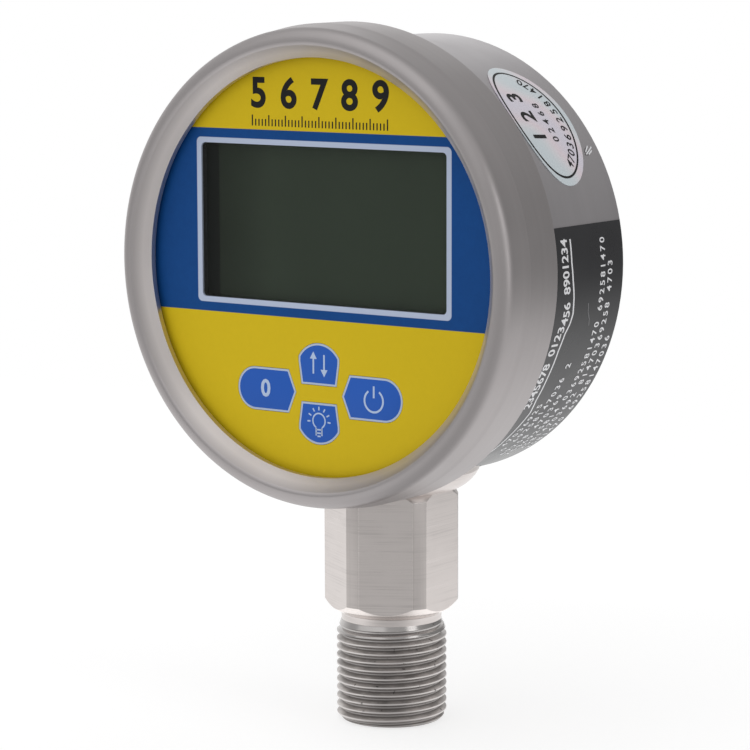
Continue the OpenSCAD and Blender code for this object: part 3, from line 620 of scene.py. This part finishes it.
# Modelling helpers
def finishPiece(name, bm, materials, body="gauge", sharp=30.0):
    bmesh.ops.remove_doubles(bm, verts=bm.verts, dist=mergeReach)
    bmesh.ops.recalc_face_normals(bm, faces=bm.faces)
    mesh = bpy.data.meshes.new(name)
    bm.to_mesh(mesh)
    bm.free()
    for material in materials:
        mesh.materials.append(material)
    mesh.shade_smooth()
    mesh.set_sharp_from_angle(angle=math.radians(sharp))
    piece = bpy.data.objects.new(name, mesh)
    bpy.context.scene.collection.objects.link(piece)
    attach(piece, body)
    return piece


def turnedForm(form):
    # Corners are (radius, height) in mm round the outline, roundings their radii
    corners = form["corners"]
    bm = bmesh.new()
    verts = [bm.verts.new((radius * mm, 0, height * mm)) for radius, height in corners]
    bm.faces.new(verts)
    for index, rounding in enumerate(form["roundings"]):
        if rounding:
            here = Vector(corners[index])
            before = (here - Vector(corners[index - 1])).normalized()
            after = (Vector(corners[(index + 1) % len(corners)]) - here).normalized()
            reach = rounding * math.tan(before.angle(after) / 2)
            bmesh.ops.bevel(bm, geom=[verts[index]], offset=reach * mm, offset_type="OFFSET",
                            segments=form["roundSegments"], profile=0.5, affect="VERTICES", material=-1)
    bmesh.ops.delete(bm, geom=list(bm.faces), context="FACES_ONLY")
    bmesh.ops.spin(bm, geom=list(bm.verts) + list(bm.edges), cent=(0, 0, 0), axis=(0, 0, 1), dvec=(0, 0, 0),
                   angle=fullTurn, steps=form["steps"], use_merge=True, use_duplicate=False)
    bmesh.ops.remove_doubles(bm, verts=bm.verts, dist=mergeReach)
    bmesh.ops.recalc_face_normals(bm, faces=bm.faces)
    return bm


def cutAway(bm, place, normal):
    # Takes away what lies past a plane, and gives back the edges of the cut
    cut = bmesh.ops.bisect_plane(bm, geom=list(bm.verts) + list(bm.edges) + list(bm.faces), dist=cutReach,
                                 plane_co=place, plane_no=normal, clear_outer=True)
    return [item for item in cut["geom_cut"] if isinstance(item, bmesh.types.BMEdge)]


def setRadius(vert, radius):
    # Moves a vertex to this radius from the stem's axis, in mm
    share = radius * mm / math.hypot(vert.co.x, vert.co.y)
    vert.co.x *= share
    vert.co.y *= share


# Bezel, turned about the dial axis
bezelForm = {
    "corners": [(36.2, 0.9), (36.2, 1.95), (38.599, 4.84), (41.37, 4.84), (41.385, 2.42), (41.95, -1.6),
                (42.05, -9.8), (40.1, -9.8), (40.1, -7.8), (40.6, -7.3), (40.6, 0.9)],
    "roundings": [0, 0.16, 1.0, 2.3, 0, 1.6, 0.35, 0.1, 0, 0, 0],
    "roundSegments": 8,
    "steps": 288,
}
bezel = turnedForm(bezelForm)
bezel.transform(onFace)
bezelPiece = finishPiece("bezelTurned", bezel, [bezelSteel])
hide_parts("bezel_ring")
print("bezel turned")

# Stem: turned core with six milled flats, and the thread as a sleeve on it
stemForm = {
    "corners": [(2.5, 0), (8.6, 0), (8.6, 18.3), (9.0, 18.3), (9.0, 19.5), (10.9, 20.58), (12.0, 21.85),
                (12.0, 41.0), (11.25, 42.3), (8.0, 42.3), (8.0, 54.1), (6.35, 54.1), (6.35, 25.5), (2.5, 25.5)],
    "roundings": [0, 0, 0, 0, 0.4, 0.3, 0.12, 0.25, 0.12, 0, 0.2, 0, 0, 0],
    "roundSegments": 3,
    "steps": 192,
    "acrossFlats": 22.0,
    "flats": 6,
    "flatCorners": 20,  # only a flat's face has more corners than this
    "edgeBreak": 0.10,
    "reliefDepth": -10.5,
    "reliefHeight": 40.9,
    "brightFrom": 9.3,
    "edgeTurn": 2.0,
    "cornerTurn": 22.8,
    "uprightLean": 0.3,
    "coneLean": -0.4,
    "sharp": 25,
}


def millStem(form):
    bm = turnedForm(form)
    for index in range(form["flats"]):
        angle = fullTurn * index / form["flats"]
        normal = Vector((math.cos(angle), math.sin(angle), 0))
        rim = cutAway(bm, normal * form["acrossFlats"] / 2 * mm, normal)
        bmesh.ops.contextual_create(bm, geom=rim)
    flatFaces = [face for face in bm.faces if len(face.verts) > form["flatCorners"]]
    flatEdges = {edge for face in flatFaces for edge in face.edges}
    bmesh.ops.bevel(bm, geom=list(flatEdges), offset=form["edgeBreak"] * mm, offset_type="OFFSET", segments=2,
                    profile=0.5, affect="EDGES", clamp_overlap=True, material=-1)
    # The hex's front corner stays under the bezel's edge
    for vert in bm.verts:
        if vert.co.y < form["reliefDepth"] * mm and vert.co.z > form["reliefHeight"] * mm:
            vert.co.z = form["reliefHeight"] * mm
    # The hex's turned corners get a darker, rougher steel with upright streaks (1). The broken edges beside them and
    # the foot's cone get a lighter steel, a painted highlight and reflection (2)
    sector = 360 / form["flats"]
    for face in bm.faces:
        middle = face.calc_center_median()
        turn = math.degrees(math.atan2(face.normal.y, face.normal.x)) % sector
        fromFlat = min(turn, sector - turn)
        outside = math.hypot(middle.x, middle.y) > form["brightFrom"] * mm
        if abs(face.normal.z) < form["uprightLean"] and outside and fromFlat > form["edgeTurn"]:
            face.material_index = 1 if fromFlat > form["cornerTurn"] else 2
        elif face.normal.z < form["coneLean"] and outside:
            face.material_index = 2
    return bm


threadForm = {
    "pitch": 1.5,
    "crest": 9.9,
    "root": 8.98,
    "crestShare": 0.16,
    "rootShare": 0.16,
    "length": 18.3,
    "inner": 8.6,
    "startChamfer": 1.0,
    "runOut": 2.2,
    "flankCuts": 5,
    "turnsBelow": 1.5,
    "spareTurns": 3,
    "steps": 96,
    "mergeReach": 2 * micron,
}


def threadSleeve(form):
    bm = bmesh.new()
    pitch = form["pitch"]
    flank = (1 - form["crestShare"] - form["rootShare"]) / 2 * pitch
    rootEnd = form["rootShare"] * pitch
    crestStart = rootEnd + flank
    crestEnd = crestStart + form["crestShare"] * pitch
    ridge = [(form["root"], 0), (form["root"], rootEnd), (form["crest"], crestStart), (form["crest"], crestEnd),
             (form["root"], pitch)]
    verts = [bm.verts.new((radius * mm, 0, height * mm)) for radius, height in ridge]
    sides = [bm.edges.new((first, second)) for first, second in zip(verts, verts[1:])]
    bmesh.ops.subdivide_edges(bm, edges=[sides[1], sides[3]], cuts=form["flankCuts"])
    # The helix starts below the foot and ends above the run-out, and both ends are cut level
    turns = math.ceil(form["length"] / pitch) + form["spareTurns"]
    bmesh.ops.translate(bm, verts=bm.verts, vec=(0, 0, -form["turnsBelow"] * pitch * mm))
    bmesh.ops.spin(bm, geom=list(bm.verts) + list(bm.edges), cent=(0, 0, 0), axis=(0, 0, 1),
                   dvec=(0, 0, pitch / form["steps"] * mm), angle=fullTurn * turns, steps=form["steps"] * turns,
                   use_merge=False, use_duplicate=False)
    bmesh.ops.remove_doubles(bm, verts=bm.verts, dist=form["mergeReach"])
    # The end chamfer and the run-out limit how far the ridge stands out
    for vert in bm.verts:
        height = vert.co.z / mm
        toFoot = form["crest"] - form["startChamfer"] + max(height, 0)
        toTop = form["root"] + max(form["length"] - height, 0) * (form["crest"] - form["root"]) / form["runOut"]
        radius = math.hypot(vert.co.x, vert.co.y) / mm
        setRadius(vert, min(radius, toFoot, max(toTop, form["root"])))
    cutAway(bm, (0, 0, 0), (0, 0, -1))
    cutAway(bm, (0, 0, form["length"] * mm), (0, 0, 1))
    # The inner wall closes the sleeve
    rims = [edge for edge in bm.edges if edge.is_boundary]
    for item in bmesh.ops.extrude_edge_only(bm, edges=rims)["geom"]:
        if isinstance(item, bmesh.types.BMVert):
            setRadius(item, form["inner"])
    innerRims = [edge for edge in bm.edges if edge.is_boundary]
    bmesh.ops.bridge_loops(bm, edges=innerRims)
    return bm


threadPiece = finishPiece("threadCut", threadSleeve(threadForm), [threadSteel],
                          sharp=stemForm["sharp"])
print("thread cut,", len(threadPiece.data.polygons), "faces")
stemPiece = finishPiece("stemTurned", millStem(stemForm), [stemSteel, cornerSteel, edgeHighlightSteel],
                        sharp=stemForm["sharp"])
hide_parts("stem")
for face in stemPiece.data.polygons:
    if len(face.vertices) > stemForm["flatCorners"]:
        face.use_smooth = False
print("stem turned and milled")

# Keys: each film patch is inset for its pale border, with the printed middle a touch proud
keyForm = {"border": 0.35, "proud": 0.04, "soften": 0.12, "frontReach": 0.01, "flatAngle": 1, "sharp": 40}
for name in ("zero", "unit", "light", "power"):
    key = bmesh.new()
    key.from_mesh(frame["nodes"]["key_" + name].data)
    bmesh.ops.remove_doubles(key, verts=key.verts, dist=mergeReach)
    bmesh.ops.dissolve_limit(key, angle_limit=math.radians(keyForm["flatAngle"]), verts=key.verts, edges=key.edges)
    key.faces.ensure_lookup_table()
    frontDepth = min(vert.co.y for vert in key.verts) + keyForm["frontReach"] * mm
    front = [face for face in key.faces if face.calc_center_median().y < frontDepth]
    bmesh.ops.inset_region(key, faces=front, thickness=keyForm["border"] * mm, use_even_offset=True)
    lifted = bmesh.ops.inset_region(key, faces=front, thickness=keyForm["soften"] * mm,
                                    depth=keyForm["proud"] * mm, use_even_offset=True)
    for face in front + lifted["faces"]:
        face.material_index = 1
    keyPiece = finishPiece("keyCap_" + name, key, [keyBorder, keyBlue], name + "_key", keyForm["sharp"])
    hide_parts("key_" + name)
print("keys made")


# Printed marks: flat strokes, drawn in mm, that lie on the face or round the case
def strokeLine(bm, start, end, width):
    first = Vector((*start, 0)) * mm
    second = Vector((*end, 0)) * mm
    run = second - first
    # A segment for each mm, so that a long line bends round the case
    grid = bmesh.ops.create_grid(bm, x_segments=math.ceil(run.length / mm), y_segments=1, size=0.5)["verts"]
    bmesh.ops.scale(bm, verts=grid, vec=(run.length, width * mm, 1))
    bmesh.ops.rotate(bm, verts=grid, cent=(0, 0, 0), matrix=Matrix.Rotation(math.atan2(run.y, run.x), 3, "Z"))
    bmesh.ops.translate(bm, verts=grid, vec=(first + second) / 2)


def strokeArc(bm, centre, radius, width, startDegrees, sweepDegrees, steps=32):
    turn = Matrix.Rotation(math.radians(startDegrees), 3, "Z")
    middle = Vector((*centre, 0)) * mm
    inner = bm.verts.new(middle + turn @ Vector(((radius - width / 2) * mm, 0, 0)))
    outer = bm.verts.new(middle + turn @ Vector(((radius + width / 2) * mm, 0, 0)))
    rib = bm.edges.new((inner, outer))
    bmesh.ops.spin(bm, geom=[inner, outer, rib], cent=middle, axis=(0, 0, 1), dvec=(0, 0, 0),
                   angle=math.radians(sweepDegrees), steps=steps, use_merge=False, use_duplicate=False)


def strokeText(bm, words, size, centre, weight=0.0, turnDegrees=0.0, smooth=3):
    letters = bpy.data.curves.new("marks", "FONT")
    letters.body = words
    letters.size = size * mm
    letters.offset = weight * mm
    letters.align_x = "CENTER"
    letters.align_y = "CENTER"
    letters.resolution_u = smooth
    holder = bpy.data.objects.new("marks", letters)
    fresh = bmesh.new()
    fresh.from_mesh(holder.to_mesh())
    holder.to_mesh_clear()
    bpy.data.objects.remove(holder)
    fresh.transform(Matrix.Translation((centre[0] * mm, centre[1] * mm, 0))
                    @ Matrix.Rotation(math.radians(turnDegrees), 4, "Z"))
    spare = bpy.data.meshes.new("marks")
    fresh.to_mesh(spare)
    fresh.free()
    bm.from_mesh(spare)
    bpy.data.meshes.remove(spare)


def thickenMarks(bm, thickness):
    bmesh.ops.recalc_face_normals(bm, faces=bm.faces)
    shell = bmesh.ops.extrude_face_region(bm, geom=list(bm.faces))
    raised = [item for item in shell["geom"] if isinstance(item, bmesh.types.BMVert)]
    bmesh.ops.translate(bm, verts=raised, vec=(0, 0, thickness * mm))


def faceMarks(name, bm, ink, lift, thickness, body="gauge"):
    # Marks in the dial's plane, laid lift mm proud of the film
    thickenMarks(bm, thickness)
    bmesh.ops.translate(bm, verts=bm.verts, vec=(0, 0, lift * mm))
    bm.transform(onFace)
    return finishPiece(name, bm, [ink], body)


# Key symbols, placed from the middle of the key cluster
symbolForm = {"middle": (-0.6, -21.9), "line": 0.34, "fine": 0.26, "thickness": 0.02, "lift": 0.035}
zeroForm = {"place": (-11.6, 0), "size": 4.2, "weight": 0.12}
unitForm = {"place": (0, 5.2), "side": 1.15, "tail": 1.7, "neck": 0.9, "head": 0.85, "headMiddle": 1.32}
lightForm = {
    "place": (0, -4.7),
    "bulb": 1.32,
    "bulbStart": -62,
    "bulbSweep": 304,
    "capLines": ((1.55, 0.62), (2.15, 0.62), (2.7, 0.34)),
    "capSide": 0.62,
    "capTop": 1.25,
    "capFoot": 2.6,
    "rays": 7,
    "rayStart": -4,
    "raySweep": 188,
    "rayReach": (1.85, 2.5),
}
powerForm = {
    "place": (11.7, -0.1),
    "ring": 1.95,
    "ringDrop": 0.15,
    "ringStart": 125,
    "ringSweep": 290,
    "barReach": (0.35, 2.4),
    "line": 0.36,
}


def symbolPlace(form):
    return symbolForm["middle"][0] + form["place"][0], symbolForm["middle"][1] + form["place"][1]


def zeroSymbol(bm):
    strokeText(bm, "0", zeroForm["size"], symbolPlace(zeroForm), zeroForm["weight"])


def unitSymbol(bm):
    # Two arrows, one up and one down
    middle, y = symbolPlace(unitForm)
    for side, way in ((-1, 1), (1, -1)):
        x = middle + side * unitForm["side"]
        strokeLine(bm, (x, y - unitForm["tail"] * way), (x, y + unitForm["neck"] * way), symbolForm["line"])
        head = bmesh.ops.create_circle(bm, cap_ends=True, segments=3, radius=unitForm["head"] * mm)["verts"]
        bmesh.ops.rotate(bm, verts=head, cent=(0, 0, 0), matrix=Matrix.Rotation(0 if way > 0 else math.pi, 3, "Z"))
        bmesh.ops.translate(bm, verts=head, vec=(x * mm, (y + unitForm["headMiddle"] * way) * mm, 0))


def lightSymbol(bm):
    # A bulb with its cap, and rays round it
    x, y = symbolPlace(lightForm)
    width = symbolForm["fine"]
    strokeArc(bm, (x, y), lightForm["bulb"], width, lightForm["bulbStart"], lightForm["bulbSweep"])
    for drop, half in lightForm["capLines"]:
        strokeLine(bm, (x - half, y - drop), (x + half, y - drop), width)
    for side in (-1, 1):
        edge = x + side * lightForm["capSide"]
        strokeLine(bm, (edge, y - lightForm["capTop"]), (edge, y - lightForm["capFoot"]), width)
    near, far = lightForm["rayReach"]
    for index in range(lightForm["rays"]):
        angle = math.radians(lightForm["rayStart"] + index * lightForm["raySweep"] / (lightForm["rays"] - 1))
        strokeLine(bm, (x + near * math.cos(angle), y + near * math.sin(angle)),
                   (x + far * math.cos(angle), y + far * math.sin(angle)), width)


def powerSymbol(bm):
    x, y = symbolPlace(powerForm)
    low, high = powerForm["barReach"]
    strokeArc(bm, (x, y - powerForm["ringDrop"]), powerForm["ring"], powerForm["line"], powerForm["ringStart"],
              powerForm["ringSweep"])
    strokeLine(bm, (x, y + low), (x, y + high), powerForm["line"])


for name, draw in (("zero", zeroSymbol), ("unit", unitSymbol), ("light", lightSymbol), ("power", powerSymbol)):
    marks = bmesh.new()
    draw(marks)
    faceMarks("keySymbol_" + name, marks, symbolInk, symbolForm["lift"], symbolForm["thickness"],
              name + "_key")
print("key symbols drawn")

# Title zone over the display: plain numbers and a row of ticks
titleForm = {
    "numbers": ("5", "6", "7", "8", "9"),
    "size": 7.2,
    "weight": 0.2,
    "smooth": 10,
    "height": 29.6,
    "pitch": 6.5,
    "middle": -0.3,
    "ticks": 41,
    "tickPitch": 0.72,
    "tickFoot": 24.1,
    "longTick": 1.9,
    "shortTick": 1.2,
    "longEvery": 5,
    "tickWidth": 0.26,
    "thickness": 0.015,
}


def titlePrint(form):
    bm = bmesh.new()
    for index, number in enumerate(form["numbers"]):
        across = form["middle"] + (index - len(form["numbers"]) // 2) * form["pitch"]
        strokeText(bm, number, form["size"], (across, form["height"]), form["weight"], smooth=form["smooth"])
    foot = form["tickFoot"]
    for index in range(form["ticks"]):
        across = form["middle"] + (index - form["ticks"] // 2) * form["tickPitch"]
        reach = form["shortTick"] if index % form["longEvery"] else form["longTick"]
        strokeLine(bm, (across, foot), (across, foot + reach), form["tickWidth"])
    return bm


faceMarks("titleMarks", titlePrint(titleForm), darkInk, 0.0, titleForm["thickness"])
print("title zone printed")


# Marks wrapped round the case: x runs up its right side, y forward to the bezel from the face's depth
def caseMarks(name, bm, ink, radius, thickness):
    thickenMarks(bm, thickness)
    for vert in bm.verts:
        angle = vert.co.x / radius
        reach = radius + vert.co.z
        vert.co = Vector((reach * math.cos(angle), faceDepth - vert.co.y, dialHeight + reach * math.sin(angle)))
    return finishPiece(name, bm, [ink])


def arcPlace(degrees):
    return math.radians(degrees) * labelRadius / mm


def nodeRadius(node):
    return max(math.hypot(vert.co.x, vert.co.z - dialHeight) for vert in frame["nodes"][node].data.vertices)


# Side label: a number row by the bezel, a rule that bends with the film's wrinkle, and small rows of digits.
# The rule and the scratch are (degrees, depth) stops, and a row is (depth, top and foot in degrees)
labelForm = {
    "rule": [(8.3, 17.9), (2.5, 17.95), (-2, 18.4), (-6, 19.0), (-10.5, 19.4), (-13, 19.0), (-15.5, 18.1),
             (-20, 17.5), (-28, 17.4), (-34.5, 17.7), (-38.8, 18.6), (-42, 18.5), (-47, 18.4), (-56, 18.6)],
    "ruleWidth": 0.4,
    "numbers": 24,
    "numberTop": 7.6,
    "numberPitch": 1.98,
    "numberSize": 2.75,
    "numberWeight": 0.06,
    "numberLead": 1.95,
    "numberGap": 8,
    "rows": [(28.1, 7, -62), (30.4, 1, -62), (33.0, -19, -60), (25.6, -35, -61), (22.9, -25, -59), (20.5, -37, -57)],
    "digitPitch": 2.15,
    "digitSize": 2.1,
    "digitWeight": 0.03,
    "digitGap": 12,
    "scratch": [(-8.4, 24.0), (-10.8, 24.35), (-12.6, 25.1), (-14.4, 25.4)],
    "scratchWidth": 0.13,
    "thickness": 0.01,
}


def ruleDepth(stops, degrees):
    for (upper, first), (lower, second) in zip(stops, stops[1:]):
        if lower <= degrees <= upper:
            return first + (second - first) * (upper - degrees) / (upper - lower)


def strokeRun(bm, stops, width):
    # Each bend gets a round dot, so the strokes join without a notch
    for (first, firstDepth), (second, secondDepth) in zip(stops, stops[1:]):
        strokeLine(bm, (arcPlace(first), -firstDepth), (arcPlace(second), -secondDepth), width)
    for degrees, depth in stops[1:-1]:
        dot = bmesh.ops.create_circle(bm, cap_ends=True, segments=12, radius=width / 2 * mm)["verts"]
        bmesh.ops.translate(bm, verts=dot, vec=(arcPlace(degrees) * mm, -depth * mm, 0))


def labelPrint(form):
    bm = bmesh.new()
    strokeRun(bm, form["rule"], form["ruleWidth"])
    for index in range(form["numbers"]):
        degrees = form["numberTop"] - index * form["numberPitch"]
        depth = ruleDepth(form["rule"], degrees) - form["numberLead"]
        if (index + 1) % form["numberGap"]:
            digit = str((form["numbers"] - index) % 10)
            strokeText(bm, digit, form["numberSize"], (arcPlace(degrees), -depth), form["numberWeight"])
    for row, (depth, top, foot) in enumerate(form["rows"]):
        for index in range(int((top - foot) / form["digitPitch"])):
            place = (arcPlace(top - index * form["digitPitch"]), -depth)
            # The gaps and the digits shift from row to row
            if (index + row * 5 + 3) % form["digitGap"]:
                digit = str((index * 7 + row * 3) % 10)
                strokeText(bm, digit, form["digitSize"], place, form["digitWeight"])
    return bm


labelWear = bmesh.new()
strokeRun(labelWear, labelForm["scratch"], labelForm["scratchWidth"])
for name, marks, ink in (("labelMarks", labelPrint(labelForm), whiteInk), ("labelScratch", labelWear, greyInk)):
    caseMarks(name, marks, ink, labelRadius + labelSkin, labelForm["thickness"])
print("label printed")

# Oval sticker: a thin oval line, three large digits, a small row and a curved row
stickerForm = {
    "angle": 40.2,
    "depth": 22.3,
    "tilt": 3.7,
    "halfLong": 11.7,
    "halfShort": 7.6,
    "line": 0.4,
    "bigDigits": "123",
    "bigSize": 5.0,
    "bigWeight": 0.12,
    "bigSmooth": 8,
    "bigPitch": 4.3,
    "bigPlace": (0.6, 2.8),
    "smallDigits": "0 2 4 6 8",
    "smallSize": 2.3,
    "smallWeight": 0.03,
    "smallPlace": (-0.6, -1.5),
    "curvedDigits": 13,
    "curvedSize": 2.5,
    "curvedInset": 1.75,
    "curvedStart": -155,
    "curvedSweep": 128,
    "scuff": [((29.0, 30.4), (30.9, 33.0)), ((29.7, 30.5), (31.2, 31.9)), ((28.9, 31.1), (29.9, 32.6))],
    "scuffWidth": 0.26,
    "thickness": 0.01,
}


def stickerPrint(form):
    bm = bmesh.new()
    oval = bmesh.ops.create_circle(bm, cap_ends=True, segments=96, radius=mm)["verts"]
    bmesh.ops.scale(bm, verts=oval, vec=(form["halfLong"], form["halfShort"], 1))
    ovalFace = list(bm.faces)
    bmesh.ops.inset_region(bm, faces=ovalFace, thickness=form["line"] * mm, use_even_offset=True, use_boundary=True)
    bmesh.ops.delete(bm, geom=ovalFace, context="FACES_ONLY")
    bigAcross, bigUp = form["bigPlace"]
    for index, digit in enumerate(form["bigDigits"]):
        place = (bigAcross + (index - 1) * form["bigPitch"], bigUp)
        strokeText(bm, digit, form["bigSize"], place, form["bigWeight"], smooth=form["bigSmooth"])
    strokeText(bm, form["smallDigits"], form["smallSize"], form["smallPlace"], form["smallWeight"])
    reachX = form["halfLong"] - form["curvedInset"]
    reachY = form["halfShort"] - form["curvedInset"]
    for index in range(form["curvedDigits"]):
        share = index / (form["curvedDigits"] - 1)
        angle = math.radians(form["curvedStart"] + share * form["curvedSweep"])
        place = (reachX * math.cos(angle), reachY * math.sin(angle))
        lean = math.degrees(math.atan2(reachY * math.cos(angle), -reachX * math.sin(angle)))
        strokeText(bm, str((index * 3 + 4) % 10), form["curvedSize"], place, form["smallWeight"], lean)
    bm.transform(Matrix.Translation((arcPlace(form["angle"]) * mm, -form["depth"] * mm, 0))
                 @ Matrix.Rotation(math.radians(-form["tilt"]), 4, "Z"))
    return bm


caseMarks("stickerMarks", stickerPrint(stickerForm), darkInk, nodeRadius("oval_sticker") + labelSkin,
          stickerForm["thickness"])
caseScuff = bmesh.new()
for (first, firstDepth), (second, secondDepth) in stickerForm["scuff"]:
    strokeLine(caseScuff, (arcPlace(first), -firstDepth), (arcPlace(second), -secondDepth), stickerForm["scuffWidth"])
caseMarks("caseScuff", caseScuff, whiteInk, labelRadius, stickerForm["thickness"])
print("sticker printed")

# Lamps: a large soft one over the front left, one at the right and one behind
lamps = {
    "keyLamp": {"place": (-0.20, -0.65, 1.00), "target": (0, 0, 0.07), "size": (1.5, 1.5), "power": 3.15},
    "sideLamp": {"place": (0.95, -0.10, 0.22), "target": (0, -0.02, 0.09), "size": (0.40, 0.7), "power": 1.3},
    "backLamp": {"place": (-0.55, 0.85, 0.50), "target": (0, 0, 0.09), "size": (0.6, 0.5), "power": 0.35},
}


def softLamp(name, plan):
    lampData = bpy.data.lights.new(name, "AREA")
    lampData.shape = "RECTANGLE"
    lampData.size, lampData.size_y = plan["size"]
    lampData.energy = plan["power"]
    lamp = bpy.data.objects.new(name, lampData)
    lamp.location = plan["place"]
    lamp.rotation_euler = (Vector(plan["target"]) - Vector(plan["place"])).to_track_quat("-Z", "Y").to_euler()
    bpy.context.scene.collection.objects.link(lamp)


for name, plan in lamps.items():
    softLamp(name, plan)

# Room: a soft tent, dimmer at the back right, with a glow at the back left.
# Each side is a direction over the floor, and its reach is how squarely a ray has to face it
roomPlan = {
    "front": 0.57,
    "back": 0.32,
    "awayFromLight": (0.58, 0.81),
    "awayReach": (-0.3, 0.9),
    "leftGlow": 0.50,
    "backLeft": (-0.80, 0.60),
    "leftReach": (0.55, 0.95),
    "zenith": 0.66,
    "riseReach": (0.1, 0.9),
}


def sideShare(tree, x, y, side):
    return weigh(tree, (x, side[0]), (y, side[1]))


def roomLight(tree, plan, x, y):
    away = spread(tree, sideShare(tree, x, y, plan["awayFromLight"]), *plan["awayReach"], plan["front"], plan["back"])
    left = spread(tree, sideShare(tree, x, y, plan["backLeft"]), *plan["leftReach"], 0.0, plan["leftGlow"])
    return calc(tree, "ADD", away, left)


def lightWorld(plan):
    world = bpy.data.worlds.new("studioWorld")
    bpy.context.scene.world = world
    world.use_nodes = True
    tree = world.node_tree
    tree.nodes.clear()
    path = addNode(tree, "ShaderNodeLightPath")
    direct = calc(tree, "MAXIMUM", path.outputs["Is Camera Ray"], path.outputs["Is Transmission Ray"])
    x, y, up = splitVector(tree, addNode(tree, "ShaderNodeTexCoord").outputs["Generated"])
    horizon = roomLight(tree, plan, x, y)
    rise = spread(tree, up, *plan["riseReach"], 0.0, 1.0)
    strength = calc(tree, "MULTIPLY_ADD", rise, calc(tree, "SUBTRACT", plan["zenith"], horizon), horizon)
    mix = addNode(tree, "ShaderNodeMixShader")
    tree.links.new(direct, mix.inputs[0])
    for place, level in ((1, strength), (2, 1.0)):
        light = addNode(tree, "ShaderNodeBackground")
        light.inputs["Color"].default_value = (1, 1, 1, 1)
        feed(tree, level, light.inputs["Strength"])
        tree.links.new(light.outputs[0], mix.inputs[place])
    output = addNode(tree, "ShaderNodeOutputWorld")
    tree.links.new(mix.outputs[0], output.inputs[0])


lightWorld(roomPlan)

# Floor: paper near the object takes its shadow, and fades into plain white with distance.
# The steel mirrors it brighter close by, and dimmer on the camera's side
floorPlan = {
    "paper": (0.50, 0.50, 0.50),
    "paperGlow": 0.63,
    "roughness": 0.9,
    "fadeReach": (0.10, 0.42),
    "nearGlow": 1.12,
    "cameraGlow": 0.62,
    "towardsCamera": (0.58, -0.81),
    "cameraReach": (0.45, 0.95),
    "glowReach": (0.17, 0.48),
    "half": 6.0,
    "segments": 8,
    "gap": 0.2 * mm,
}


def floorFinish(plan):
    material, tree, shader = startFinish("floorPaper", plan["paper"], plan["roughness"], Specular_IOR_Level=0.0)
    setSockets(shader, Emission_Color=(1, 1, 1, 1), Emission_Strength=plan["paperGlow"])
    parts = splitVector(tree, pieceCoords(tree))
    distance = spanOf(tree, parts[0], parts[1])
    runX = calc(tree, "DIVIDE", parts[0], distance)
    runY = calc(tree, "DIVIDE", parts[1], distance)
    toCamera = sideShare(tree, runX, runY, plan["towardsCamera"])
    near = spread(tree, toCamera, *plan["cameraReach"], plan["nearGlow"], plan["cameraGlow"])
    room = roomLight(tree, roomPlan, runX, runY)
    step = spread(tree, distance, *plan["glowReach"], 0.0, 1.0)
    mirrored = calc(tree, "MULTIPLY_ADD", step, calc(tree, "SUBTRACT", room, near), near)
    direct = addNode(tree, "ShaderNodeLightPath").outputs["Is Camera Ray"]
    glow = addNode(tree, "ShaderNodeEmission")
    tree.links.new(calc(tree, "MAXIMUM", mirrored, direct), glow.inputs["Strength"])
    far = spread(tree, distance, *plan["fadeReach"], 0.0, 1.0)
    mix = addNode(tree, "ShaderNodeMixShader")
    tree.links.new(calc(tree, "MAXIMUM", far, calc(tree, "SUBTRACT", 1.0, direct)), mix.inputs[0])
    tree.links.new(shader.outputs[0], mix.inputs[1])
    tree.links.new(glow.outputs[0], mix.inputs[2])
    tree.links.new(mix.outputs[0], tree.nodes["Material Output"].inputs["Surface"])
    return material


floorSheet = bmesh.new()
bmesh.ops.create_grid(floorSheet, x_segments=floorPlan["segments"], y_segments=floorPlan["segments"],
                      size=floorPlan["half"])
bmesh.ops.translate(floorSheet, verts=floorSheet.verts, vec=(0, 0, cadBox[0][2] - floorPlan["gap"]))
floorMesh = bpy.data.meshes.new("paleFloor")
floorSheet.to_mesh(floorMesh)
floorSheet.free()
floorMesh.materials.append(floorFinish(floorPlan))
floorObject = bpy.data.objects.new("paleFloor", floorMesh)
bpy.context.scene.collection.objects.link(floorObject)
print("lamps, room and floor set")

bpy.context.scene.view_settings.view_transform = "Standard"
